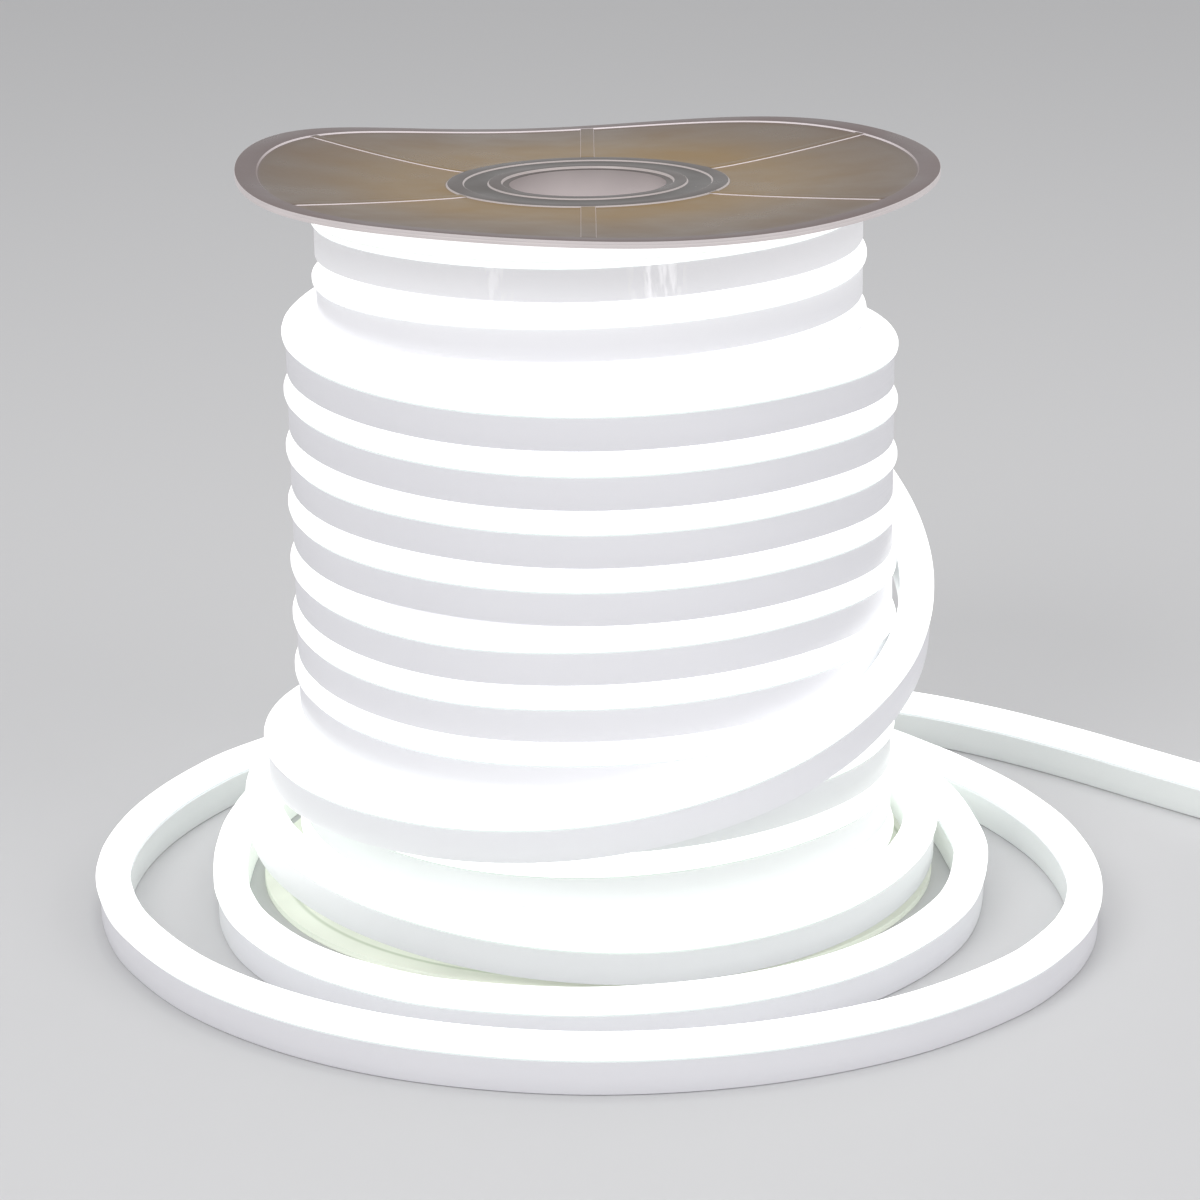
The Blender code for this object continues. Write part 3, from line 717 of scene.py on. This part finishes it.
capSettings = {
    "wall": 0.0012,
    "length": 0.020,
    "pocket": 0.014,
    "endWall": 0.001,
    "roomAbove": 0.0001,
    "aside": 0.0006,
    "lipShare": 0.8,
    "round": 0.0022,
    "color": (0.78, 0.78, 0.79),
    "cloudColor": (0.70, 0.70, 0.72),
}


def joinedMesh(name, meshes):
    bm = bmesh.new()
    result = bpy.data.meshes.new(name)
    for index, mesh in enumerate(meshes):
        bm.from_mesh(mesh)
        bm.faces.ensure_lookup_table()
        done = len(bm.faces) - len(mesh.polygons)
        for face in bm.faces[done:]:
            face.material_index = index
        result.materials.append(mesh.materials[0])
    bm.to_mesh(result)
    bm.free()
    return result


def mouthFace(bm):
    return min(bm.faces, key=lambda face: face.calc_center_median().x)


def makeEndCap(settings, end, direction, material):
    swell = stripSettings["outerSwell"] + stripSettings["innerSwell"]
    length, width = settings["length"], stripSizes["width"] + swell + 2 * settings["wall"]
    height = stripSizes["height"] + settings["wall"] + settings["roomAbove"]
    center = (length / 2 - settings["pocket"], settings["aside"], height / 2)
    bm = bmesh.new()
    bmesh.ops.create_cube(bm, size=1.0)
    bmesh.ops.scale(bm, vec=(length, width, height), verts=bm.verts)
    bmesh.ops.translate(bm, vec=center, verts=bm.verts)
    mouth = mouthFace(bm)
    rest = [edge for edge in bm.edges if mouth not in edge.link_faces]
    bmesh.ops.bevel(bm, geom=rest, offset=settings["round"], segments=4, affect="EDGES", profile=0.5)
    mouth = mouthFace(bm)
    bmesh.ops.inset_region(bm, faces=[mouth], thickness=settings["wall"] * settings["lipShare"])
    pushed = bmesh.ops.extrude_face_region(bm, geom=[mouth])
    bmesh.ops.delete(bm, geom=[mouth], context="FACES")
    moved = [v for v in pushed["geom"] if isinstance(v, bmesh.types.BMVert)]
    bmesh.ops.translate(bm, vec=(settings["pocket"] - settings["endWall"], 0.0, 0.0), verts=moved)
    bmesh.ops.recalc_face_normals(bm, faces=bm.faces)
    heading = math.atan2(direction.y, direction.x)
    bm.transform(Matrix.Translation(end) @ Matrix.Rotation(heading, 4, "Z"))
    mesh = bpy.data.meshes.new("endCap")
    bm.to_mesh(mesh)
    bm.free()
    mesh.materials.append(material)
    return newPiece("endCap", mesh)


def makeCapPvc(settings):
    material, tree, shader, place = newFinish("capPvc", 0.42)
    texture = useGroup(tree, grain, place, Fine_Scale=1400.0, Cloud_Scale=60.0)
    base = mixColor(tree, texture.outputs["Cloud"], settings["color"], settings["cloudColor"])
    tree.links.new(base, shader.inputs["Base Color"])
    bumpFrom(tree, shader, texture.outputs["Height"], 0.12)
    return material


freePath = floorPath()
freeStrip = newPiece("freeStrip", joinedMesh("freeStrip", [
    sweepStrip("freeStripSides", freePath, channelGuide, sidePvc),
    sweepStrip("freeStripLobe", freePath, lobeGuide, litDiffuser)]))
endCap = makeEndCap(capSettings, freePath[-1], freePath[-1] - freePath[-2], makeCapPvc(capSettings))
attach(freeStrip, "root")
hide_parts("tail_channel", "tail_diffuser")
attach(endCap, "root")
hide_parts("tail_end_cap")


# The reel: turned plates with rounded steps, ribs set round them, and the tube between

reelSettings = {
    "radius": 0.1635,
    "thickness": 0.0032,
    "height": 0.3392,
    "bore": 0.0366,
    "tubeRadius": 0.0430,
    "tubeWall": 0.0025,
    "spigotLength": 0.018,
    "rimWidth": 0.0101,
    "panelDepth": 0.0006,
    "hubRingOuter": 0.0656,
    "hubRingInner": 0.0581,
    "bossOuter": 0.0463,
    "bossInner": 0.0402,
    "bossStep": 0.0010,
    "draft": 0.0003,
    "edgeRound": 0.00016,
    "partingGroove": 0.00022,
    "grooveHalf": 0.0003,
    "edgeDrop": 0.0002,
    "ribDrop": 0.0001,
    "clearance": 0.0003,
    "panelRings": 12,
    "sides": 224,
    "smoothAngle": 50,
}

ribSettings = {
    "Rib Count": 6,
    "First Angle": math.radians(30.0),
    "Inner Radius": 0.0650,
    "Outer Radius": 0.1540,
    "Width": 0.0065,
    "Height": 0.0009,
    "Foot Draft": 0.0002,
    "Stations": 26,
}
ribBevel = (0.00014, 2)  # width and segments


def flangeOutline(s):
    # Heights from the inner face; each row is radius, height, and the finish of the band that follows
    top, panel = s["thickness"], s["thickness"] - s["panelDepth"]
    rimInner = s["radius"] - s["rimWidth"]
    panelInner = s["hubRingOuter"] + s["draft"]
    spigot = s["tubeRadius"] - s["tubeWall"] - s["clearance"]
    spans = s["panelRings"] + 1
    rings = [panelInner + (rimInner - panelInner) * k / spans for k in range(1, spans)]
    edge, middle, half = s["radius"], top / 2, s["grooveHalf"]
    rows = [(edge, top - s["edgeDrop"], "edge"), (edge, middle + half, "edge")]
    rows += [(edge - s["partingGroove"], middle, "edge"), (edge, middle - half, "edge"), (edge, 0.0, "under")]
    rows += [(r, 0.0, "under") for r in reversed(rings)]
    rows += [(s["hubRingOuter"], 0.0, "under"), (spigot, 0.0, "under")]
    rows += [(spigot, -s["spigotLength"], "bore")]
    rows += [(s["bore"], -s["spigotLength"], "bore"), (s["bore"], top - s["bossStep"], "face")]
    rows += [(s["bossInner"] - s["draft"], top - s["bossStep"], "edge"), (s["bossInner"], top, "face")]
    rows += [(s["bossOuter"], top, "edge"), (s["bossOuter"] + s["draft"], panel, "face")]
    rows += [(s["hubRingInner"] - s["draft"], panel, "edge"), (s["hubRingInner"], top, "face")]
    rows += [(s["hubRingOuter"], top, "edge"), (panelInner, panel, "face")]
    rows += [(r, panel, "face") for r in rings]
    rows += [(rimInner - s["draft"], panel, "edge"), (rimInner, top, "face")]
    return rows


def roundedRows(rows, reach):
    # Every corner becomes a small arc that takes the finish of the step beside it
    straightDot, longestShare = -0.98, 0.4
    result = []
    for i, (r, z, band) in enumerate(rows):
        before, after = rows[i - 1], rows[(i + 1) % len(rows)]
        here = Vector((r, z))
        toBefore, toAfter = Vector(before[:2]) - here, Vector(after[:2]) - here
        if toBefore.normalized().dot(toAfter.normalized()) < straightDot:
            result.append((r, z, band))
            continue
        first = here + toBefore.normalized() * min(reach, toBefore.length * longestShare)
        last = here + toAfter.normalized() * min(reach, toAfter.length * longestShare)
        middle = (first + 2 * here + last) / 4
        arc = "edge" if "edge" in (before[2], band) else band
        result += [(*first, arc), (*middle, arc), (*last, band)]
    return result


def turnedMesh(name, rows, sides, materials, lift=None):
    # One ring of points at each side, whose bands take their materials from the rows
    bm = bmesh.new()
    rings = []
    for k in range(sides):
        azimuth = 360.0 * k / sides
        lifted = [(r, z + (lift(r, azimuth) if lift else 0.0)) for r, z, band in rows]
        rings.append([bm.verts.new(atAzimuth(azimuth, r, z)) for r, z in lifted])
    names = list(materials)
    count = len(rows)
    for k in range(sides):
        one, two = rings[k], rings[(k + 1) % sides]
        for i in range(count):
            j = (i + 1) % count
            face = bm.faces.new((one[i], one[j], two[j], two[i]))
            face.material_index = names.index(rows[i][2])
    bmesh.ops.recalc_face_normals(bm, faces=bm.faces)
    mesh = bpy.data.meshes.new(name)
    bm.to_mesh(mesh)
    bm.free()
    for material in materials.values():
        mesh.materials.append(material)
    return mesh


def makeRibTree():
    sizes = ("First Angle", "Inner Radius", "Outer Radius", "Width", "Height", "Foot Draft")
    tree, source, result = newTree("ribRing", [
        ("Rib Count", "NodeSocketInt"), *((label, "NodeSocketFloat") for label in sizes),
        ("Stations", "NodeSocketInt"), ("Face Finish", "NodeSocketMaterial"),
        ("Edge Finish", "NodeSocketMaterial")])
    link = tree.links.new
    given = source.outputs
    size = addNode(tree, "ShaderNodeCombineXYZ")
    link(mathNode(tree, "SUBTRACT", given["Outer Radius"], given["Inner Radius"]), size.inputs[0])
    link(given["Width"], size.inputs[1])
    link(given["Height"], size.inputs[2])
    bar = addNode(tree, "GeometryNodeMeshCube")
    link(size.outputs[0], bar.inputs["Size"])
    link(given["Stations"], bar.inputs["Vertices X"])
    # The foot is wider than the top by the draft on each side
    place = addNode(tree, "GeometryNodeInputPosition")
    parts = addNode(tree, "ShaderNodeSeparateXYZ")
    link(place.outputs[0], parts.inputs[0])
    low = mathNode(tree, "LESS_THAN", parts.outputs[2], 0.0)
    sideways = mathNode(tree, "MULTIPLY", mathNode(tree, "SIGN", parts.outputs[1]), given["Foot Draft"])
    shift = addNode(tree, "ShaderNodeCombineXYZ")
    link(mathNode(tree, "MULTIPLY", low, sideways), shift.inputs[1])
    widen = addNode(tree, "GeometryNodeSetPosition")
    link(bar.outputs["Mesh"], widen.inputs["Geometry"])
    link(shift.outputs[0], widen.inputs["Offset"])
    outward = addNode(tree, "ShaderNodeCombineXYZ")
    middle = mathNode(tree, "ADD", given["Outer Radius"], given["Inner Radius"])
    link(mathNode(tree, "MULTIPLY", middle, 0.5), outward.inputs[0])
    moved = addNode(tree, "GeometryNodeTransform")
    link(widen.outputs[0], moved.inputs["Geometry"])
    link(outward.outputs[0], moved.inputs["Translation"])
    spots = addNode(tree, "GeometryNodePoints")
    link(given["Rib Count"], spots.inputs["Count"])
    number = addNode(tree, "GeometryNodeInputIndex")
    step = mathNode(tree, "DIVIDE", 2 * math.pi, given["Rib Count"])
    angle = mathNode(tree, "ADD", mathNode(tree, "MULTIPLY", number.outputs[0], step), given["First Angle"])
    turn = addNode(tree, "ShaderNodeCombineXYZ")
    link(angle, turn.inputs[2])
    copies = addNode(tree, "GeometryNodeInstanceOnPoints")
    link(spots.outputs[0], copies.inputs["Points"])
    link(moved.outputs[0], copies.inputs["Instance"])
    link(turn.outputs[0], copies.inputs["Rotation"])
    realize = addNode(tree, "GeometryNodeRealizeInstances")
    link(copies.outputs[0], realize.inputs[0])
    facing = addNode(tree, "ShaderNodeSeparateXYZ")
    link(addNode(tree, "GeometryNodeInputNormal").outputs[0], facing.inputs[0])
    steep = mathNode(tree, "LESS_THAN", mathNode(tree, "ABSOLUTE", facing.outputs[2]), 0.7)
    faces = addNode(tree, "GeometryNodeSetMaterial")
    link(realize.outputs[0], faces.inputs["Geometry"])
    link(given["Face Finish"], faces.inputs["Material"])
    sidesOf = addNode(tree, "GeometryNodeSetMaterial")
    link(faces.outputs[0], sidesOf.inputs["Geometry"])
    link(steep, sidesOf.inputs["Selection"])
    link(given["Edge Finish"], sidesOf.inputs["Material"])
    link(sidesOf.outputs[0], result.inputs[0])
    return tree


def ribMesh(name, face, edge, place):
    inputs = dict(ribSettings)
    inputs["Face Finish"], inputs["Edge Finish"] = face, edge
    mesh = treeMesh(name, ribTree, inputs, bpy.data.meshes.new(name + "Blank"), bevel=ribBevel)
    for vertex in mesh.vertices:
        vertex.co = place(vertex.co)
    return mesh


reelColors = {
    "boss": (0.078, 0.061, 0.054),
    "groove": (0.060, 0.051, 0.044),
    "hubRing": (0.072, 0.057, 0.050),
    "innerPanel": (0.208, 0.120, 0.026),
    "panel": (0.154, 0.096, 0.042),
    "outerPanel": (0.120, 0.078, 0.047),
    "rim": (0.130, 0.091, 0.086),
    "hubEdge": (0.46, 0.41, 0.40),
    "litEdge": (0.74, 0.67, 0.69),
    "dullEdge": (0.205, 0.158, 0.150),
    "outerEdge": (0.59, 0.54, 0.54),
    "boreTop": (0.34, 0.30, 0.297),
    "boreLow": (0.72, 0.66, 0.66),
    "lowFace": (0.80, 0.83, 0.73),
    "lowRim": (0.79, 0.82, 0.72),
    "lowLine": (0.55, 0.60, 0.48),
    "lowEdge": (0.84, 0.88, 0.77),
    "dust": (0.55, 0.52, 0.48),
}


def makeTopFace(colors, s):
    material, tree, shader, place = newFinish("smokyReelFace", 0.30)
    shader.inputs["Specular IOR Level"].default_value = 0.36
    share = mathNode(tree, "DIVIDE", radiusValue(tree, place), s["radius"])
    rimInner = (s["radius"] - s["rimWidth"]) / s["radius"]
    hubOuter, hubInner = s["hubRingOuter"] / s["radius"], s["hubRingInner"] / s["radius"]
    bossOuter = s["bossOuter"] / s["radius"]
    # The ochre near the hub is painted light, the strips' glow seen through the plate
    base = ramp(tree, share, (
        (bossOuter, colors["boss"]), (bossOuter + 0.004, colors["groove"]),
        (hubInner - 0.004, colors["groove"]), (hubInner, colors["hubRing"]),
        (hubOuter, colors["hubRing"]), (hubOuter + 0.006, colors["innerPanel"]),
        (hubOuter + 0.14, colors["innerPanel"]), (hubOuter + 0.34, colors["panel"]),
        (rimInner - 0.01, colors["outerPanel"]), (rimInner, colors["rim"])), colors=True)
    texture = useGroup(tree, grain, place, Fine_Scale=700.0, Cloud_Scale=22.0)
    cloudy = ramp(tree, texture.outputs["Cloud"], ((0.3, 0.88), (0.7, 1.10)))
    base = mixColor(tree, 1.0, base, cloudy, blend="MULTIPLY")
    dust = useGroup(tree, specks, place, Scale=120.0, Size=0.05)
    base = mixColor(tree, product(tree, dust.outputs["Mask"], 0.35), base, colors["dust"])
    tree.links.new(base, shader.inputs["Base Color"])
    rough = ramp(tree, texture.outputs["Cloud"], ((0.3, 0.26), (0.7, 0.40)))
    tree.links.new(rough, shader.inputs["Roughness"])
    bumpFrom(tree, shader, texture.outputs["Height"], 0.04)
    return material


def stepEdgeLightAndShade(tree, place, colors, s):
    # Painted light and shade on the glowing steps: the ribs and the back of the rim's step are painted lit,
    # and the hub and the rim's front are painted dull
    share = mathNode(tree, "DIVIDE", radiusValue(tree, place), s["radius"])
    hub, rim = s["hubRingOuter"] / s["radius"], (s["radius"] - s["rimWidth"]) / s["radius"]
    base = ramp(tree, share, (
        (hub + 0.008, colors["hubEdge"]), (hub + 0.02, colors["litEdge"]), (rim - 0.016, colors["litEdge"]),
        (rim - 0.008, colors["dullEdge"]), (rim + 0.02, colors["dullEdge"]), (0.985, colors["outerEdge"])),
        colors=True)
    onRim = ramp(tree, share, ((rim - 0.012, 0.0), (rim - 0.008, 1.0), (rim + 0.012, 1.0), (rim + 0.02, 0.0)))
    backward = mathNode(tree, "MULTIPLY_ADD", separated(tree, place, 1), 4.0, 0.5)
    behind = ramp(tree, backward, ((0.46, 0.0), (0.70, 0.8), (0.92, 1.0)))
    return mixColor(tree, product(tree, onRim, behind), base, colors["litEdge"])


def boreLightByHeight(tree, place, colors, s):
    # Painted light and shade: the bore wall is painted dark at the top and lit lower down
    level = mathNode(tree, "DIVIDE", separated(tree, place, 2), s["height"])
    return ramp(tree, level, ((0.955, colors["boreLow"]), (0.998, colors["boreTop"])), colors=True)


def lowFaceColor(tree, place, colors, s):
    # The low plate's pale green is painted light from the strip, with a band of painted shade at the rim's
    # step
    share = mathNode(tree, "DIVIDE", radiusValue(tree, place), s["radius"])
    rim = (s["radius"] - s["rimWidth"]) / s["radius"]
    return ramp(tree, share, (
        (rim - 0.012, colors["lowFace"]), (rim - 0.006, colors["lowLine"]), (rim, colors["lowLine"]),
        (rim + 0.006, colors["lowRim"])), colors=True)


def makeGlowingPlastic(name, color, glow, roughness=0.35):
    # Clear plastic that carries the strip's light out, as painted light: its color, plain or made by a
    # function, is also its glow
    material, tree, shader, place = newFinish(name, roughness)
    texture = useGroup(tree, grain, place, Fine_Scale=600.0, Cloud_Scale=18.0)
    if callable(color):
        color = color(tree, place, reelColors, reelSettings)
    cloudy = ramp(tree, texture.outputs["Cloud"], ((0.35, 1.0), (0.65, 0.90)))
    shade = mixColor(tree, 1.0, color, cloudy, blend="MULTIPLY")
    tree.links.new(shade, shader.inputs["Base Color"])
    tree.links.new(shade, shader.inputs["Emission Color"])
    shader.inputs["Emission Strength"].default_value = glow
    bumpFrom(tree, shader, texture.outputs["Height"], 0.05)
    return material


topFace = makeTopFace(reelColors, reelSettings)
stepEdge = makeGlowingPlastic("litStepEdge", stepEdgeLightAndShade, 0.20)
boreWall = makeGlowingPlastic("boreWall", boreLightByHeight, 0.12, 0.42)
# The low plate's finishes carry painted light, the strip's green light falling on it
lowFace = makeGlowingPlastic("lowReelFace", lowFaceColor, 0.20)
lowEdge = makeGlowingPlastic("lowReelEdge", reelColors["lowEdge"], 0.16)

flangeRows = roundedRows(flangeOutline(reelSettings), reelSettings["edgeRound"])
faceHeight = reelSettings["height"] - reelSettings["thickness"]


def topLift(radius, azimuth):
    return faceHeight + bowLift(radius, azimuth)


def onTopPlate(co):
    azimuth = math.degrees(math.atan2(-co.y, co.x))
    low = faceHeight + reelSettings["thickness"] - ribSettings["Height"] / 2 - reelSettings["ribDrop"]
    return Vector((co.x, co.y, co.z + low + bowLift(math.hypot(co.x, co.y), azimuth)))


def underLowPlate(co):
    return Vector((co.x, -co.y, ribSettings["Height"] / 2 + reelSettings["ribDrop"] - co.z))


def turnedPiece(name, rows, sides, materials, lift=None):
    return newPiece(name, turnedMesh(name, rows, sides, materials, lift), reelSettings["smoothAngle"])


topMaterials = {"face": topFace, "edge": stepEdge, "under": boreWall, "bore": boreWall}
lowMaterials = {"face": lowFace, "edge": lowEdge, "under": lowFace, "bore": boreWall}
topFlange = turnedPiece("topFlange", flangeRows, reelSettings["sides"], topMaterials, topLift)
lowRows = [(r, reelSettings["thickness"] - z, band) for r, z, band in flangeRows]
lowFlange = turnedPiece("lowFlange", lowRows, reelSettings["sides"], lowMaterials)
ribTree = makeRibTree()
topRibs = newPiece("topRibs", ribMesh("topRibs", topFace, stepEdge, onTopPlate))
lowRibs = newPiece("lowRibs", ribMesh("lowRibs", lowFace, lowEdge, underLowPlate))
lowRibs.data.flip_normals()

tubeOuter = reelSettings["tubeRadius"]
tubeInner = tubeOuter - reelSettings["tubeWall"]
tubeLow = reelSettings["thickness"] + reelSettings["clearance"]
tubeHigh = faceHeight - reelSettings["clearance"]
tubeRows = [(tubeOuter, tubeHigh, "wall"), (tubeOuter, tubeLow, "wall"),
            (tubeInner, tubeLow, "wall"), (tubeInner, tubeHigh, "wall")]
coreTube = turnedPiece("coreTube", tubeRows, reelSettings["sides"], {"wall": boreWall})
for piece, node, slot in ((topFlange, "reel_top_flange", "reel_plastic"),
                          (lowFlange, "reel_bottom_flange", "reel_plastic"),
                          (coreTube, "reel_core_tube", "core_plastic"),
                          (topRibs, None, "reel_plastic"), (lowRibs, None, "reel_plastic")):
    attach(piece, "root")
    if node:
        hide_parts(node)
print("scene: reel made")


# What the outer turns cover: a plain body inside the turns that show

coveredSettings = {
    "clearance": 0.0003,
    "layerGap": 0.0005,
    "fullTop": 0.2590,
    "top": 0.3350,
    "sides": 120,
}


def coveredRows(s):
    half = stripSizes["width"] / 2
    core = reelSettings["tubeRadius"] + s["clearance"]
    wide = innerLayerRadius + half
    narrow = innerLayerRadius - stripSizes["layerPitch"] - half - s["layerGap"]
    low = stripSizes["windingFloor"]
    return [(narrow, s["top"], "body"), (narrow, s["fullTop"], "body"), (wide, s["fullTop"], "body"),
            (wide, low + stripPitch, "body"), (narrow, low + stripPitch, "body"), (narrow, low, "body"),
            (core, low, "body"), (core, s["top"], "body")]


coveredBody = turnedPiece("coveredBody", coveredRows(coveredSettings), coveredSettings["sides"],
                          {"body": sidePvc})
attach(coveredBody, "root")
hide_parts("covered_windings")
for guide in (channelGuide, lobeGuide):
    bpy.data.objects.remove(guide, do_unlink=True)
print("scene: covered body made")


# Floor, lights and world

studioSettings = {
    "floorSize": 14.0,
    "floorColor": (0.62, 0.62, 0.63),
    "worldLight": 0.62,
    "backdrop": (0.66, 0.66, 0.67),
    "lampAim": (0.0, 0.0, 0.15),
}

lampSettings = {
    "keyLamp": {"place": (-1.5, -2.2, 2.3), "size": 1.8, "power": 32.0},
    "fillLamp": {"place": (2.0, -1.6, 1.6), "size": 1.8, "power": 16.0},
    "topLamp": {"place": (0.2, 0.6, 2.8), "size": 1.6, "power": 14.0},
}


def makeFloor(settings):
    bm = bmesh.new()
    bmesh.ops.create_grid(bm, x_segments=2, y_segments=2, size=settings["floorSize"] / 2)
    mesh = bpy.data.meshes.new("studioFloor")
    bm.to_mesh(mesh)
    bm.free()
    floor = bpy.data.objects.new("studioFloor", mesh)
    bpy.context.scene.collection.objects.link(floor)
    material, _, shader, _ = newFinish("paleFloor", 0.65)
    shader.inputs["Base Color"].default_value = (*settings["floorColor"], 1.0)
    mesh.materials.append(material)


def makeLamp(name, settings, aim):
    data = bpy.data.lights.new(name, "AREA")
    data.shape = "DISK"
    data.size = settings["size"]
    data.energy = settings["power"]
    lamp = bpy.data.objects.new(name, data)
    bpy.context.scene.collection.objects.link(lamp)
    lamp.location = settings["place"]
    lamp.rotation_euler = (Vector(aim) - lamp.location).to_track_quat("-Z", "Y").to_euler()


def makeWorld(settings):
    world = bpy.data.worlds.new("studioWorld")
    bpy.context.scene.world = world
    world.use_nodes = True
    tree = world.node_tree
    tree.nodes.clear()
    output = addNode(tree, "ShaderNodeOutputWorld")
    light, shown = addNode(tree, "ShaderNodeBackground"), addNode(tree, "ShaderNodeBackground")
    light.inputs[0].default_value = (1.0, 1.0, 1.0, 1.0)
    light.inputs[1].default_value = settings["worldLight"]
    shown.inputs[0].default_value = (*settings["backdrop"], 1.0)
    # The backdrop is what the camera sees, also by reflection and through clear plastic
    rays = addNode(tree, "ShaderNodeLightPath").outputs
    seen = mathNode(tree, "MAXIMUM", rays["Is Camera Ray"], rays["Is Glossy Ray"])
    seen = mathNode(tree, "MAXIMUM", seen, rays["Is Transmission Ray"])
    mix = addNode(tree, "ShaderNodeMixShader")
    tree.links.new(seen, mix.inputs[0])
    tree.links.new(light.outputs[0], mix.inputs[1])
    tree.links.new(shown.outputs[0], mix.inputs[2])
    tree.links.new(mix.outputs[0], output.inputs[0])


makeFloor(studioSettings)
makeWorld(studioSettings)
for lampName, lampValues in lampSettings.items():
    makeLamp(lampName, lampValues, studioSettings["lampAim"])
bpy.context.scene.view_settings.view_transform = "Standard"
print("scene: studio made")
